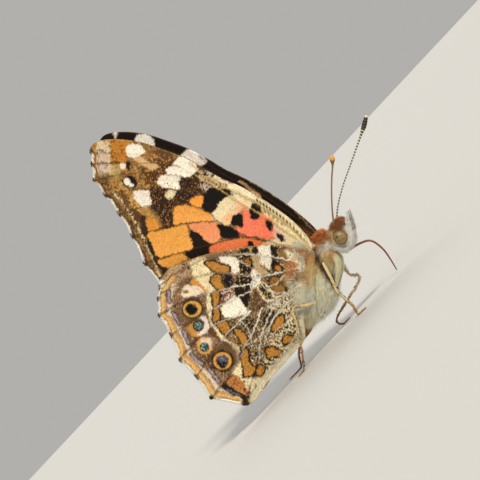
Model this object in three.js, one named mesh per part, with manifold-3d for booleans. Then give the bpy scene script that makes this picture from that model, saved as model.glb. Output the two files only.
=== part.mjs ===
// Painted lady butterfly, life size, wings closed over its back, standing on four feet.
// Millimetres, Z up, the head toward +X. The right side is the seen side.

import * as THREE from 'three';
import Module from 'manifold-3d';

const solids = await Module();
solids.setup();

// How the picture lies in space
const PIXELS_PER_MM = 8.0;
const MARK_ACROSS = 300;
const MARK_DOWN = 330;
const MARK_HEIGHT = 3.96;
const FLOOR_SLOPE = THREE.MathUtils.degToRad(47);
const VIEW_TURN = THREE.MathUtils.degToRad(22);

// General sizes
const GAP = 0.3;
const WING_THICKNESS = 0.5;
const VEIN_HEIGHT = 0.13;
const VEIN_HALF_WIDTH = 0.3;
const VEIN_STEP = 1.55;
const MARGIN_STEP = 1.15;
const MEMBRANE_STEP = 3.0;
const FOOT_HEIGHT = 0.2;
const LIMB_SIDES = 8;
const BODY_SIDES = 18;

// A point of the picture, in pixels right and down, put at a distance from the body's middle plane.
function place(across, down, sideways) {
  const right = (across - MARK_ACROSS) / PIXELS_PER_MM;
  const up = (MARK_DOWN - down) / PIXELS_PER_MM;
  const forward = right * Math.cos(FLOOR_SLOPE) + up * Math.sin(FLOOR_SLOPE);
  const height = MARK_HEIGHT + up * Math.cos(FLOOR_SLOPE) - right * Math.sin(FLOOR_SLOPE);
  const x = (forward - sideways * Math.sin(VIEW_TURN)) / Math.cos(VIEW_TURN);
  return new THREE.Vector3(x, sideways, height);
}

// Closed surfaces and solids

// A surface whose triangles all face outward, whichever way round they are all given.
function surfaceFrom(points, triangles) {
  const volume = triangles.reduce((sum, [a, b, c]) => (
    sum + points[a].dot(new THREE.Vector3().crossVectors(points[b], points[c]))
  ), 0);
  const outward = volume > 0 ? triangles : triangles.map(([a, b, c]) => [a, c, b]);
  const geometry = new THREE.BufferGeometry();
  const numbers = points.flatMap((point) => [point.x, point.y, point.z]);
  geometry.setAttribute('position', new THREE.Float32BufferAttribute(numbers, 3));
  geometry.setIndex(outward.flat());
  return geometry;
}

function solidFrom(geometry) {
  return new solids.Manifold(new solids.Mesh({
    numProp: 3,
    vertProperties: new Float32Array(geometry.getAttribute('position').array),
    triVerts: new Uint32Array(geometry.getIndex().array),
  }));
}

function largestPiece(solid) {
  const pieces = solid.decompose();
  return pieces.reduce((best, piece) => (piece.volume() > best.volume() ? piece : best));
}

function geometryFrom(solid) {
  const mesh = largestPiece(solid).getMesh();
  const geometry = new THREE.BufferGeometry();
  geometry.setAttribute('position', new THREE.Float32BufferAttribute(mesh.vertProperties, 3));
  geometry.setIndex(Array.from(mesh.triVerts));
  return geometry;
}

function cutClear(geometry, obstacles) {
  const cut = obstacles.reduce((left, obstacle) => left.subtract(solidFrom(obstacle)), solidFrom(geometry));
  return geometryFrom(cut);
}

// Rings of points joined into one closed surface, with a flat or pointed face at each end.
function skinOver(rings) {
  const sides = rings[0].length;
  const points = rings.flat();
  const triangles = [];
  for (let ring = 0; ring < rings.length - 1; ring += 1) {
    for (let side = 0; side < sides; side += 1) {
      const next = (side + 1) % sides;
      const near = ring * sides;
      const far = near + sides;
      triangles.push([near + side, far + side, far + next]);
      triangles.push([near + side, far + next, near + next]);
    }
  }
  const start = points.length;
  points.push(middleOf(rings[0]));
  points.push(middleOf(rings[rings.length - 1]));
  const lastRing = (rings.length - 1) * sides;
  for (let side = 0; side < sides; side += 1) {
    const next = (side + 1) % sides;
    triangles.push([start, side, next]);
    triangles.push([start + 1, lastRing + next, lastRing + side]);
  }
  return surfaceFrom(points, triangles);
}

function middleOf(ring) {
  const sum = ring.reduce((total, point) => total.add(point), new THREE.Vector3());
  return sum.divideScalar(ring.length);
}

// Body

// One station of the body: a point of its back and one of its underside, and half its width.
const HEAD_STATIONS = [
  { back: [344, 220], under: [349, 223], half: 0.35 },
  { back: [336, 220], under: [348, 227], half: 0.95 },
  { back: [330, 227], under: [348, 235], half: 1.3 },
  { back: [327, 232], under: [346, 242], half: 1.3 },
  { back: [325, 236], under: [341, 247], half: 1.0 },
];
const THORAX_STATIONS = [
  { back: [321, 236.5], under: [337, 249.5], half: 1.0 },
  { back: [315, 238], under: [337, 255], half: 1.4 },
  { back: [308, 247], under: [336, 267], half: 1.75 },
  { back: [302, 260], under: [337, 281], half: 1.95 },
  { back: [297, 275], under: [338, 295], half: 1.95 },
  { back: [293, 289], under: [332, 308], half: 1.9 },
  { back: [291, 301], under: [320, 318], half: 1.75 },
  { back: [289, 308], under: [312, 324], half: 1.55 },
];
const ABDOMEN_STATIONS = [
  { back: [286.5, 310], under: [309.5, 326.5], half: 1.5 },
  { back: [279, 323], under: [302, 341], half: 1.6 },
  { back: [269, 340], under: [289.5, 356.5], half: 1.5 },
  { back: [258.5, 356], under: [275.5, 371], half: 1.25 },
  { back: [250.5, 368.5], under: [263.5, 381.5], half: 0.95 },
  { back: [247, 378], under: [254, 386], half: 0.5 },
];

// A ring of the body's skin at each station, made larger all round by a chosen distance.
function bodyRings(stations, larger) {
  return stations.map(({ back, under, half }) => {
    const top = place(back[0], back[1], 0);
    const bottom = place(under[0], under[1], 0);
    const centre = top.clone().add(bottom).multiplyScalar(0.5);
    const reach = top.clone().sub(bottom).multiplyScalar(0.5);
    reach.setLength(reach.length() + larger);
    const ring = [];
    for (let side = 0; side < BODY_SIDES; side += 1) {
      const turn = (side / BODY_SIDES) * Math.PI * 2;
      const point = centre.clone().addScaledVector(reach, Math.cos(turn));
      point.y = Math.sin(turn) * (half + larger);
      ring.push(point);
    }
    return ring;
  });
}

function bodyPart(stations) {
  return skinOver(bodyRings(stations, 0));
}

// The same part grown by the gap, and a little longer at both ends.
function grownPart(stations) {
  const rings = bodyRings(stations, GAP);
  const first = middleOf(rings[0]).sub(middleOf(rings[1])).setLength(GAP);
  const count = rings.length;
  const last = middleOf(rings[count - 1]).sub(middleOf(rings[count - 2])).setLength(GAP);
  rings[0].forEach((point) => point.add(first));
  rings[count - 1].forEach((point) => point.add(last));
  return skinOver(rings);
}

// Eyes, bulging out of the sides of the head

const EYE_ACROSS = 339.5;
const EYE_DOWN = 237.5;
const EYE_SIDEWAYS = 1.2;
const EYE_LENGTH = 0.9;
const EYE_DEPTH = 0.72;
const EYE_HEIGHT = 1.0;

function eyeball(side, larger) {
  const eye = new THREE.SphereGeometry(1, 20, 14);
  eye.scale(EYE_LENGTH + larger, EYE_DEPTH + larger, EYE_HEIGHT + larger);
  const centre = place(EYE_ACROSS, EYE_DOWN, -EYE_SIDEWAYS);
  eye.translate(centre.x, side * EYE_SIDEWAYS, centre.z);
  return mergedSphere(eye);
}

// The sphere's seam and poles are closed by sharing the points that lie on each other.
function mergedSphere(geometry) {
  const position = geometry.getAttribute('position');
  const points = [];
  const known = new Map();
  const shared = [];
  for (let index = 0; index < position.count; index += 1) {
    const point = new THREE.Vector3().fromBufferAttribute(position, index);
    const key = point.toArray().map((value) => value.toFixed(4)).join(' ');
    if (!known.has(key)) {
      known.set(key, points.length);
      points.push(point);
    }
    shared.push(known.get(key));
  }
  const order = Array.from(geometry.getIndex().array, (index) => shared[index]);
  const triangles = [];
  for (let index = 0; index < order.length; index += 3) {
    const [a, b, c] = order.slice(index, index + 3);
    if (a !== b && b !== c && c !== a) {
      triangles.push([a, b, c]);
    }
  }
  return surfaceFrom(points, triangles);
}

// Limbs: legs, feelers, palps and tongue

// A round limb along a bent line, its thickness given at each point of the line.
function limb(path, radii, piecesBetween) {
  const line = new THREE.CatmullRomCurve3(path, false, 'centripetal');
  const count = (path.length - 1) * piecesBetween;
  const rings = [];
  let across = new THREE.Vector3(0, 1, 0.2).normalize();
  for (let step = 0; step <= count; step += 1) {
    const along = step / count;
    const centre = line.getPoint(along);
    const ahead = line.getTangent(along);
    across = across.clone().addScaledVector(ahead, -across.dot(ahead)).normalize();
    const other = new THREE.Vector3().crossVectors(ahead, across);
    const position = along * (path.length - 1);
    const before = Math.min(Math.floor(position), path.length - 2);
    const radius = THREE.MathUtils.lerp(radii[before], radii[before + 1], position - before);
    const ring = [];
    for (let side = 0; side < LIMB_SIDES; side += 1) {
      const turn = (side / LIMB_SIDES) * Math.PI * 2;
      const point = centre.clone();
      point.addScaledVector(across, -Math.cos(turn) * radius);
      point.addScaledVector(other, Math.sin(turn) * radius);
      point.z = Math.max(point.z, 0);
      ring.push(point);
    }
    rings.push(ring);
  }
  return skinOver(rings);
}

// A landmark of a limb is its place in the picture and its distance from the middle plane.
function limbPath(landmarks) {
  return landmarks.map(([across, down, sideways]) => place(across, down, sideways));
}

// The same limb on a chosen side: the landmarks are those of the right side, mirrored for the left.
function pairedPath(landmarks, side) {
  return landmarks.map(([across, down, sideways]) => {
    const point = place(across, down, -sideways);
    point.y = side * sideways;
    return point;
  });
}

// A standing leg: the upper part alike on both sides, and a foot of its own lying on the floor.
function standingLeg(upper, foot, side) {
  const path = [...pairedPath(upper, side), ...limbPath(foot)];
  path.slice(-2).forEach((point) => {
    point.z = FOOT_HEIGHT;
  });
  return limb(path, STANDING_LEG_RADII, 2);
}

const STANDING_LEG_RADII = [0.36, 0.36, 0.3, 0.28, 0.26, 0.26, 0.26];
const MID_LEG_UPPER = [[322, 262, 2.5], [331, 279, 3.1], [336, 290.5, 3.6], [344, 298, 4.1]];
const MID_FOOT_RIGHT = [[351.5, 305, -4.5], [356.5, 313, -4.8], [364, 305.5, -5.2]];
const MID_FOOT_LEFT = [[339, 319, 4.4], [346, 325.5, 4.6], [353, 318, 5.0]];
const HIND_LEG_UPPER = [[315, 303, 2.4], [306, 305, 3.6], [293, 308, 4.25], [297, 326, 4.35]];
const HIND_FOOT_RIGHT = [[301, 347, -4.4], [303, 370, -4.7], [297.5, 377, -5.0]];
const HIND_FOOT_LEFT = [[301, 352, 4.5], [302, 371, 4.7], [291, 385, 5.0]];
const FORE_LEG_RADII = [0.3, 0.34, 0.32, 0.26, 0.12];
const FORE_LEG = [
  [338, 257, 1.0], [342, 262, 1.15], [342.5, 270, 1.2], [341.5, 280, 1.05], [341, 290, 0.8],
];

const ANTENNA_RIGHT = [
  [334, 228, -0.45], [331.5, 214, -1.6], [329.8, 196, -3.7], [329.2, 180, -5.8],
  [329.4, 168, -7.4], [328.8, 162.5, -8.0], [328.3, 159, -8.3],
];
const ANTENNA_LEFT = [
  [336, 226, 0.45], [337.5, 207, 1.5], [342.5, 187, 2.8], [350, 166, 4.2],
  [360, 138, 5.7], [364, 126, 6.2], [366.6, 115, 6.6],
];
const ANTENNA_RADII = [0.25, 0.25, 0.25, 0.25, 0.26, 0.4, 0.2];

const PALP = [
  [345, 247, 0.42], [352, 241, 0.55], [353.5, 230, 0.55], [350.5, 218, 0.5], [346.5, 209.5, 0.42],
];
const PALP_RADII = [0.28, 0.4, 0.42, 0.32, 0.08];

const TONGUE = [
  [352, 249, 0], [361, 242.5, 0], [371, 241, 0], [382, 249, 0], [390, 260, 0], [396, 270, 0],
];
const TONGUE_RADII = [0.25, 0.26, 0.26, 0.25, 0.22, 0.14];

// Wings

// Landmarks of the right wings, in the picture's pixels.
const FOREWING_ROOT = [314, 249];
const FOREWING_COSTA = [
  [313, 246], [307, 236], [295, 224], [280, 212], [260, 198.5], [240, 187], [220, 178], [200, 166.5],
  [180, 156], [160, 148.5], [140, 142], [120, 139], [103, 139.5], [93, 143],
];
const FOREWING_VEIN_ENDS = [
  [88, 151], [88.5, 163], [90.5, 180], [102, 195.5], [116, 214.5], [129, 237], [141, 264.5], [165, 298],
];
const FOREWING_DORSUM = [[190, 291], [220, 283], [250, 274], [280, 265], [300, 259], [308, 256]];
const FOREWING_VEINS = [
  [[311, 246], [295, 231], [275, 216], [250, 199], [225, 187], [205, 175.5], [190, 161.2]],
  [[311, 247.5], [290, 234], [270, 220.5], [250, 208], [228, 195], [210, 183], [196, 175], [180, 166],
    [160, 158], [140, 153], [115, 151.5], [88, 151]],
  [[180, 166], [150, 162.5], [120, 161.5], [88.5, 163]],
  [[210, 183], [190, 178.5], [165, 173.5], [140, 172], [112, 174.5], [90.5, 180]],
  [[206, 193], [180, 189.5], [150, 188], [122, 190], [102, 195.5]],
  [[210, 183], [206, 193], [205, 203], [211, 213]],
  [[211, 213], [190, 205.5], [165, 203], [138, 207], [116, 214.5]],
  [[309, 251], [285, 245], [268, 241], [250, 237], [234, 229.5], [218, 221], [211, 213]],
  [[218, 221], [195, 222], [165, 226.5], [129, 237]],
  [[250, 237], [230, 239.5], [200, 247.5], [170, 255.5], [141, 264.5]],
  [[307, 253], [280, 256], [250, 262], [220, 271.5], [190, 283], [165, 298]],
];
const FOREWING_SCALLOP = 0.22;

const HINDWING_ROOT = [303, 266];
const HINDWING_COSTA = [
  [301, 256], [292, 248.5], [270, 245.5], [250, 246.5], [230, 250.5], [212, 253], [195, 258], [180, 264],
  [169, 268.5], [162, 277],
];
const HINDWING_VEIN_ENDS = [
  [156.5, 288], [154.5, 299], [155.5, 317], [168, 337.5], [177, 363.5], [194, 380.5], [209, 403], [245, 410],
];
const HINDWING_INNER = [
  [255, 403], [266, 386], [280, 370], [292, 356], [302, 344], [304.5, 334], [303, 315], [302, 295],
];
const HINDWING_VEINS = [
  [[301, 263], [285, 259], [262, 255.5], [240, 255], [212, 256.5], [190, 265], [170, 277], [156.5, 288]],
  [[301, 268], [287, 270], [272, 274.5], [255, 277], [240, 274.5], [215, 273.5], [190, 279], [170, 288],
    [154.5, 299]],
  [[255, 277], [251, 284], [251, 297], [252, 311]],
  [[251, 284], [230, 288], [206, 294], [180, 303], [155.5, 317]],
  [[251, 291], [232, 300.5], [209, 311.5], [188, 324], [168, 337.5]],
  [[252, 311], [237, 316.5], [214, 325.5], [197, 340], [177, 363.5]],
  [[252, 311], [240, 321.5], [226, 336], [211, 356], [194, 380.5]],
  [[301, 284], [281, 296], [268, 304], [252, 311]],
  [[262, 307.5], [256, 325], [246, 346], [230, 377], [209, 403]],
  [[301, 292], [283, 306], [272, 321], [260, 345], [257, 368], [250, 388], [245, 410]],
];
const HINDWING_SCALLOP = 0.2;

// How far each wing stands off the body's middle plane, at a distance from its root.
const WING_CLEARANCE = 1.55;
const ROOT_SPREAD = 0.6;
const ROOT_REACH = 3.0;
const TIP_SPREAD = 0.016;
const WING_SPACING = 1.06;
const FOLD_DEPTH = 0.75;
const FOLD_REACH = 1.3;

function forewingStandoff(point) {
  const reach = point.distanceTo(FOREWING_HUB);
  const spread = ROOT_SPREAD * Math.exp(-((reach / ROOT_REACH) ** 2));
  return WING_CLEARANCE + spread + TIP_SPREAD * reach;
}

function hindwingStandoff(point) {
  const toFold = distanceToLine(point, HINDWING_FOLD);
  const folded = FOLD_DEPTH * Math.exp(-((toFold / FOLD_REACH) ** 2));
  return forewingStandoff(point) + WING_SPACING - folded;
}

// Wings are drawn flat, x forward and y up, before they are set off to the side.
function flat([across, down], sideways) {
  const point = place(across, down, -sideways);
  return new THREE.Vector2(point.x, point.z);
}

const FOREWING_OFFSET = 1.85;
const HINDWING_OFFSET = 2.9;
const FOREWING_HUB = flat(FOREWING_ROOT, FOREWING_OFFSET);
const HINDWING_FOLD = HINDWING_INNER.slice(0, 5).map((mark) => flat(mark, HINDWING_OFFSET));

function distanceToSegment(point, start, end) {
  const along = end.clone().sub(start);
  const share = THREE.MathUtils.clamp(point.clone().sub(start).dot(along) / along.lengthSq(), 0, 1);
  return point.distanceTo(start.clone().addScaledVector(along, share));
}

function distanceToLine(point, line) {
  let nearest = Infinity;
  for (let index = 0; index < line.length - 1; index += 1) {
    nearest = Math.min(nearest, distanceToSegment(point, line[index], line[index + 1]));
  }
  return nearest;
}

function smoothLine(marks, step) {
  const line = new THREE.SplineCurve(marks);
  const count = Math.max(1, Math.round(line.getLength() / step));
  return line.getSpacedPoints(count);
}

// The margin runs out along the costa, in scallops from vein end to vein end, and back to the root.
function wingMargin(costa, veinEnds, back, scallop) {
  const front = smoothLine(costa.concat([veinEnds[0]]), MARGIN_STEP);
  const edge = [...front];
  for (let index = 0; index < veinEnds.length - 1; index += 1) {
    const start = veinEnds[index];
    const end = veinEnds[index + 1];
    const count = Math.max(3, Math.round(start.distanceTo(end) / (MARGIN_STEP * 0.8)));
    const inward = new THREE.Vector2(start.y - end.y, end.x - start.x).normalize();
    for (let step = 1; step <= count; step += 1) {
      const share = step / count;
      const point = start.clone().lerp(end, share);
      point.addScaledVector(inward, scallop * Math.sin(share * Math.PI));
      edge.push(point);
    }
  }
  const returning = smoothLine([veinEnds[veinEnds.length - 1], ...back, costa[0]], MARGIN_STEP);
  edge.push(...returning.slice(1, -1));
  return edge;
}

function isInside(point, polygon) {
  let inside = false;
  polygon.forEach((corner, index) => {
    const other = polygon[(index + 1) % polygon.length];
    const crosses = (corner.y > point.y) !== (other.y > point.y);
    const crossing = ((other.x - corner.x) * (point.y - corner.y)) / (other.y - corner.y) + corner.x;
    if (crosses && point.x < crossing) {
      inside = !inside;
    }
  });
  return inside;
}

// Points of one wing: its margin, the crest and the two feet of every vein, and the membrane between.
function wingPoints(margin, veins) {
  const marks = margin.map((point) => ({ point, rise: 0 }));
  const closedMargin = [...margin, margin[0]];
  const isFree = (point, room, edgeRoom) => isInside(point, margin)
    && distanceToLine(point, closedMargin) > edgeRoom
    && marks.every((mark) => mark.point.distanceTo(point) > room);
  const feet = [];
  veins.forEach((vein) => {
    const crest = smoothLine(vein, VEIN_STEP);
    crest.forEach((point, index) => {
      if (!isFree(point, 0.45, 0.45)) {
        return;
      }
      marks.push({ point, rise: VEIN_HEIGHT });
      const before = crest[Math.max(index - 1, 0)];
      const after = crest[Math.min(index + 1, crest.length - 1)];
      const ahead = after.clone().sub(before).normalize();
      const aside = new THREE.Vector2(-ahead.y, ahead.x);
      feet.push(point.clone().addScaledVector(aside, VEIN_HALF_WIDTH));
      feet.push(point.clone().addScaledVector(aside, -VEIN_HALF_WIDTH));
    });
  });
  feet.forEach((point) => {
    if (isFree(point, VEIN_HALF_WIDTH * 0.9, 0.4)) {
      marks.push({ point, rise: 0 });
    }
  });
  const box = new THREE.Box2().setFromPoints(margin);
  const rowStep = MEMBRANE_STEP * 0.87;
  for (let row = 0; box.min.y + row * rowStep < box.max.y; row += 1) {
    const shift = (row % 2) * 0.5;
    for (let column = 0; box.min.x + column * MEMBRANE_STEP < box.max.x; column += 1) {
      const x = box.min.x + (column + shift + 0.03 * (row % 5)) * MEMBRANE_STEP;
      const point = new THREE.Vector2(x, box.min.y + row * rowStep);
      if (isFree(point, MEMBRANE_STEP * 0.42, 0.9)) {
        marks.push({ point, rise: 0 });
      }
    }
  }
  return marks;
}

function circleAround(a, b, c) {
  const twice = 2 * (a.x * (b.y - c.y) + b.x * (c.y - a.y) + c.x * (a.y - b.y));
  const sizeA = a.lengthSq();
  const sizeB = b.lengthSq();
  const sizeC = c.lengthSq();
  const x = (sizeA * (b.y - c.y) + sizeB * (c.y - a.y) + sizeC * (a.y - b.y)) / twice;
  const y = (sizeA * (c.x - b.x) + sizeB * (a.x - c.x) + sizeC * (b.x - a.x)) / twice;
  const centre = new THREE.Vector2(x, y);
  return { centre, radius: centre.distanceTo(a) };
}

// Triangles over scattered points, each with no other point inside the circle round it.
function triangulate(points) {
  const far = 1000;
  const all = [...points, new THREE.Vector2(-far, -far), new THREE.Vector2(far, -far),
    new THREE.Vector2(0, far)];
  const count = points.length;
  const triangleOf = (corners) => ({ corners, ...circleAround(...corners.map((corner) => all[corner])) });
  let triangles = [triangleOf([count, count + 1, count + 2])];
  points.forEach((point, index) => {
    const broken = triangles.filter(({ centre, radius }) => centre.distanceTo(point) < radius - 1e-9);
    const rim = new Map();
    broken.forEach(({ corners }) => {
      corners.forEach((corner, place3) => {
        const next = corners[(place3 + 1) % 3];
        const reverse = `${next} ${corner}`;
        if (rim.has(reverse)) {
          rim.delete(reverse);
        } else {
          rim.set(`${corner} ${next}`, [corner, next]);
        }
      });
    });
    triangles = triangles.filter((triangle) => !broken.includes(triangle));
    rim.forEach(([corner, next]) => triangles.push(triangleOf([corner, next, index])));
  });
  return triangles.map(({ corners }) => corners).filter((corners) => corners.every((c) => c < count));
}

// One wing: the same triangles on both faces, a wall round the margin, ridges where the veins run.
function wing(margin, veins, standoff, side) {
  const marks = wingPoints(margin, veins);
  const inside = triangulate(marks.map((mark) => mark.point)).filter((corners) => {
    const middle = new THREE.Vector2();
    corners.forEach((corner) => middle.addScaledVector(marks[corner].point, 1 / 3));
    return isInside(middle, margin);
  });
  const count = marks.length;
  const points = [1, -1].flatMap((face) => marks.map(({ point, rise }) => {
    const away = standoff(point) + face * (WING_THICKNESS / 2 + rise);
    return new THREE.Vector3(point.x, side * away, point.y);
  }));
  const triangles = [];
  const rim = new Map();
  inside.forEach(([a, b, c]) => {
    triangles.push([a, c, b]);
    triangles.push([a + count, b + count, c + count]);
    [[a, b], [b, c], [c, a]].forEach(([start, end]) => {
      const reverse = `${end} ${start}`;
      if (rim.has(reverse)) {
        rim.delete(reverse);
      } else {
        rim.set(`${start} ${end}`, [start, end]);
      }
    });
  });
  rim.forEach(([start, end]) => {
    triangles.push([start, end, end + count]);
    triangles.push([start, end + count, start + count]);
  });
  return surfaceFrom(points, triangles);
}

function marksOf(list, sideways) {
  return list.map((mark) => flat(mark, sideways));
}

function forewing(side) {
  const margin = wingMargin(marksOf(FOREWING_COSTA, FOREWING_OFFSET),
    marksOf(FOREWING_VEIN_ENDS, FOREWING_OFFSET), marksOf(FOREWING_DORSUM, FOREWING_OFFSET), FOREWING_SCALLOP);
  const veins = FOREWING_VEINS.map((vein) => marksOf(vein, FOREWING_OFFSET));
  return wing(margin, veins, forewingStandoff, side);
}

function hindwing(side) {
  const margin = wingMargin(marksOf(HINDWING_COSTA, HINDWING_OFFSET),
    marksOf(HINDWING_VEIN_ENDS, HINDWING_OFFSET), marksOf(HINDWING_INNER, HINDWING_OFFSET), HINDWING_SCALLOP);
  const veins = HINDWING_VEINS.map((vein) => marksOf(vein, HINDWING_OFFSET));
  return wing(margin, veins, hindwingStandoff, side);
}

// The whole animal

const HAIR_COLOUR = '#a3937b';
const ABDOMEN_COLOUR = '#9c8a70';
const EYE_COLOUR = '#8d7b57';
const LEG_COLOUR = '#d8c08a';
const ANTENNA_COLOUR = '#4a4038';
const PALP_COLOUR = '#e6dccb';
const TONGUE_COLOUR = '#8a4a30';
const FOREWING_COLOUR = '#c98a4c';
const HINDWING_COLOUR = '#a58a68';

const butterfly = new THREE.Group();
butterfly.name = 'painted_lady';

function addPart(name, geometry, colour, roughness) {
  const material = new THREE.MeshStandardMaterial({ color: colour, roughness, metalness: 0 });
  const mesh = new THREE.Mesh(geometry, material);
  mesh.name = name;
  butterfly.add(mesh);
}

const grownHead = grownPart(HEAD_STATIONS);
const grownThorax = grownPart(THORAX_STATIONS);

addPart('head', cutClear(bodyPart(HEAD_STATIONS), [eyeball(-1, GAP), eyeball(1, GAP)]), HAIR_COLOUR, 0.9);
addPart('thorax', bodyPart(THORAX_STATIONS), HAIR_COLOUR, 0.9);
addPart('abdomen', bodyPart(ABDOMEN_STATIONS), ABDOMEN_COLOUR, 0.9);
addPart('proboscis', cutClear(limb(limbPath(TONGUE), TONGUE_RADII, 3), [grownHead]), TONGUE_COLOUR, 0.5);
addPart('antenna_right', cutClear(limb(limbPath(ANTENNA_RIGHT), ANTENNA_RADII, 3), [grownHead]),
  ANTENNA_COLOUR, 0.7);
addPart('antenna_left', cutClear(limb(limbPath(ANTENNA_LEFT), ANTENNA_RADII, 3), [grownHead]),
  ANTENNA_COLOUR, 0.7);
addPart('leg_mid_right', cutClear(standingLeg(MID_LEG_UPPER, MID_FOOT_RIGHT, -1), [grownThorax]),
  LEG_COLOUR, 0.7);
addPart('leg_mid_left', cutClear(standingLeg(MID_LEG_UPPER, MID_FOOT_LEFT, 1), [grownThorax]),
  LEG_COLOUR, 0.7);
addPart('leg_hind_right', cutClear(standingLeg(HIND_LEG_UPPER, HIND_FOOT_RIGHT, -1), [grownThorax]),
  LEG_COLOUR, 0.7);
addPart('leg_hind_left', cutClear(standingLeg(HIND_LEG_UPPER, HIND_FOOT_LEFT, 1), [grownThorax]),
  LEG_COLOUR, 0.7);

[['right', -1], ['left', 1]].forEach(([word, side]) => {
  addPart(`eye_${word}`, eyeball(side, 0), EYE_COLOUR, 0.3);
  addPart(`palp_${word}`, cutClear(limb(pairedPath(PALP, side), PALP_RADII, 2), [grownHead]), PALP_COLOUR, 0.8);
  addPart(`leg_fore_${word}`, cutClear(limb(pairedPath(FORE_LEG, side), FORE_LEG_RADII, 2), [grownThorax]),
    LEG_COLOUR, 0.7);
  addPart(`forewing_${word}`, forewing(side), FOREWING_COLOUR, 0.75);
  addPart(`hindwing_${word}`, hindwing(side), HINDWING_COLOUR, 0.75);
});

// The origin is on the floor, under the middle of the whole.
const extent = new THREE.Box3().setFromObject(butterfly);
const middle = extent.getCenter(new THREE.Vector3());
butterfly.children.forEach((mesh) => mesh.geometry.translate(-middle.x, -middle.y, -extent.min.z));

export default butterfly;
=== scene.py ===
# %% [markdown]
# The painted lady, dressed
#
# The solids of this butterfly are already packed as a fixed frame. This script puts the real surfaces
# over that frame: scaled wing membranes with their markings, hair on the body, faceted eyes, ringed
# feelers, spiny legs. Everything is in metres, the head toward +X, the floor at height 0.

# %% Load the frame
import math

import bpy
import numpy as np
from mathutils import Matrix, Vector


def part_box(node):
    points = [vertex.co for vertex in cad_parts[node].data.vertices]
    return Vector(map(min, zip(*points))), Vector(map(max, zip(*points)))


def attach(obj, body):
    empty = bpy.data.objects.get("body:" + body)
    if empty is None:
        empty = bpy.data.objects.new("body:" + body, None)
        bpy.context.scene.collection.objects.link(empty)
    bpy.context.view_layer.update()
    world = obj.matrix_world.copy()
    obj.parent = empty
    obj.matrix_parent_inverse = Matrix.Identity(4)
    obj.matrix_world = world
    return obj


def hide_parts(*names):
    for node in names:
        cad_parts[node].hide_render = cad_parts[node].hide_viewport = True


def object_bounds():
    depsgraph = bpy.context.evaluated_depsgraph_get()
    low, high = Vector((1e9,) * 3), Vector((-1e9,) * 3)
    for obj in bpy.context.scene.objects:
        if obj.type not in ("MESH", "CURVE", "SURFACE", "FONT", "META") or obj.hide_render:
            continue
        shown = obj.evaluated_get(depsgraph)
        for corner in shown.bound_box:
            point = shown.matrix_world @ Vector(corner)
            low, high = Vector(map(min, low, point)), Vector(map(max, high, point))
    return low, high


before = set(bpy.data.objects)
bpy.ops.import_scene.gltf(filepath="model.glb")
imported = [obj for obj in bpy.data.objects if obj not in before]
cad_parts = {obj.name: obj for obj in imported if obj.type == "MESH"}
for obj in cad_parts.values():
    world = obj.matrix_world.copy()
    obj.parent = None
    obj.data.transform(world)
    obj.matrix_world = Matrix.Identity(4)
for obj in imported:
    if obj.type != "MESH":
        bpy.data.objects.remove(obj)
solid_low, solid_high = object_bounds()
MM = 0.001
SIDES = {"right": -1, "left": 1}


def in_mm(corner):
    return [round(value / MM, 2) for value in corner]


print("solids reach from", in_mm(solid_low), "to", in_mm(solid_high), "millimetres")

# %% [markdown]
# Where a mark of the picture lies in space
#
# Marks on the animal were read off the picture in pixels. The floor runs through the feet at 47 degrees
# in the picture, and the animal is seen 22 degrees toward its face. With those two angles and 8 pixels
# to the millimetre a mark becomes a place, once its distance from the body's middle plane is chosen.
# The eyes, which are in the frame, say where the middle plane is.

# %% From picture to place and back
PIXELS_PER_MM = 8.0
MARK_ACROSS = 300.0
MARK_DOWN = 330.0
MARK_HEIGHT = 3.96
FLOOR_SLOPE = math.radians(47)
VIEW_TURN = math.radians(22)
EYE_ACROSS = 339.5
EYE_DOWN = 237.5
EYE_SIDEWAYS = 1.2


def side_view(across, down, sideways):
    """Forward place and height, in millimetres, of a mark at a distance from the middle plane."""
    right = (np.asarray(across, float) - MARK_ACROSS) / PIXELS_PER_MM
    up = (MARK_DOWN - np.asarray(down, float)) / PIXELS_PER_MM
    forward = right * math.cos(FLOOR_SLOPE) + up * math.sin(FLOOR_SLOPE)
    height = MARK_HEIGHT + up * math.cos(FLOOR_SLOPE) - right * math.sin(FLOOR_SLOPE)
    return (forward - sideways * math.sin(VIEW_TURN)) / math.cos(VIEW_TURN), height


eye_boxes = [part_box("eye_right"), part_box("eye_left")]
eye_middle = sum((low + high for low, high in eye_boxes), Vector()) / 4 / MM
SHIFT_X = eye_middle.x - side_view(EYE_ACROSS, EYE_DOWN, -EYE_SIDEWAYS)[0]
SHIFT_Y = eye_middle.y


def place(across, down, sideways):
    """A mark's place in millimetres in the frame, as an array."""
    x, height = side_view(across, down, sideways)
    return np.array([float(x) + SHIFT_X, sideways + SHIFT_Y, float(height)])


def to_picture(x, height, sideways):
    """The mark, in pixels, at which a place on the seen side shows."""
    forward = (x - SHIFT_X) * math.cos(VIEW_TURN) + sideways * math.sin(VIEW_TURN)
    rise = height - MARK_HEIGHT
    right = forward * math.cos(FLOOR_SLOPE) - rise * math.sin(FLOOR_SLOPE)
    up = forward * math.sin(FLOOR_SLOPE) + rise * math.cos(FLOOR_SLOPE)
    return MARK_ACROSS + right * PIXELS_PER_MM, MARK_DOWN - up * PIXELS_PER_MM


print("middle plane at", round(SHIFT_Y, 3), "mm, forward shift", round(SHIFT_X, 3), "mm")

# %% [markdown]
# Camera
#
# A macro lens sees the animal at an angle to the slope that it stands on. Here a long lens from a third
# of a metre away keeps the wings as flat. The animal could be tilted, but then its feet would leave the
# level floor, so the camera is rolled instead, and the animal keeps its slant in the picture.

# %% Camera
PICTURE_SIZE = 480
PICTURE_MIDDLE = 240
AIM_SIDEWAYS = -2.0
SENSOR_MM = 36.0
LENS_MM = 200.0
NEAREST_SEEN = 0.01
FARTHEST_SEEN = 20

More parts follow.
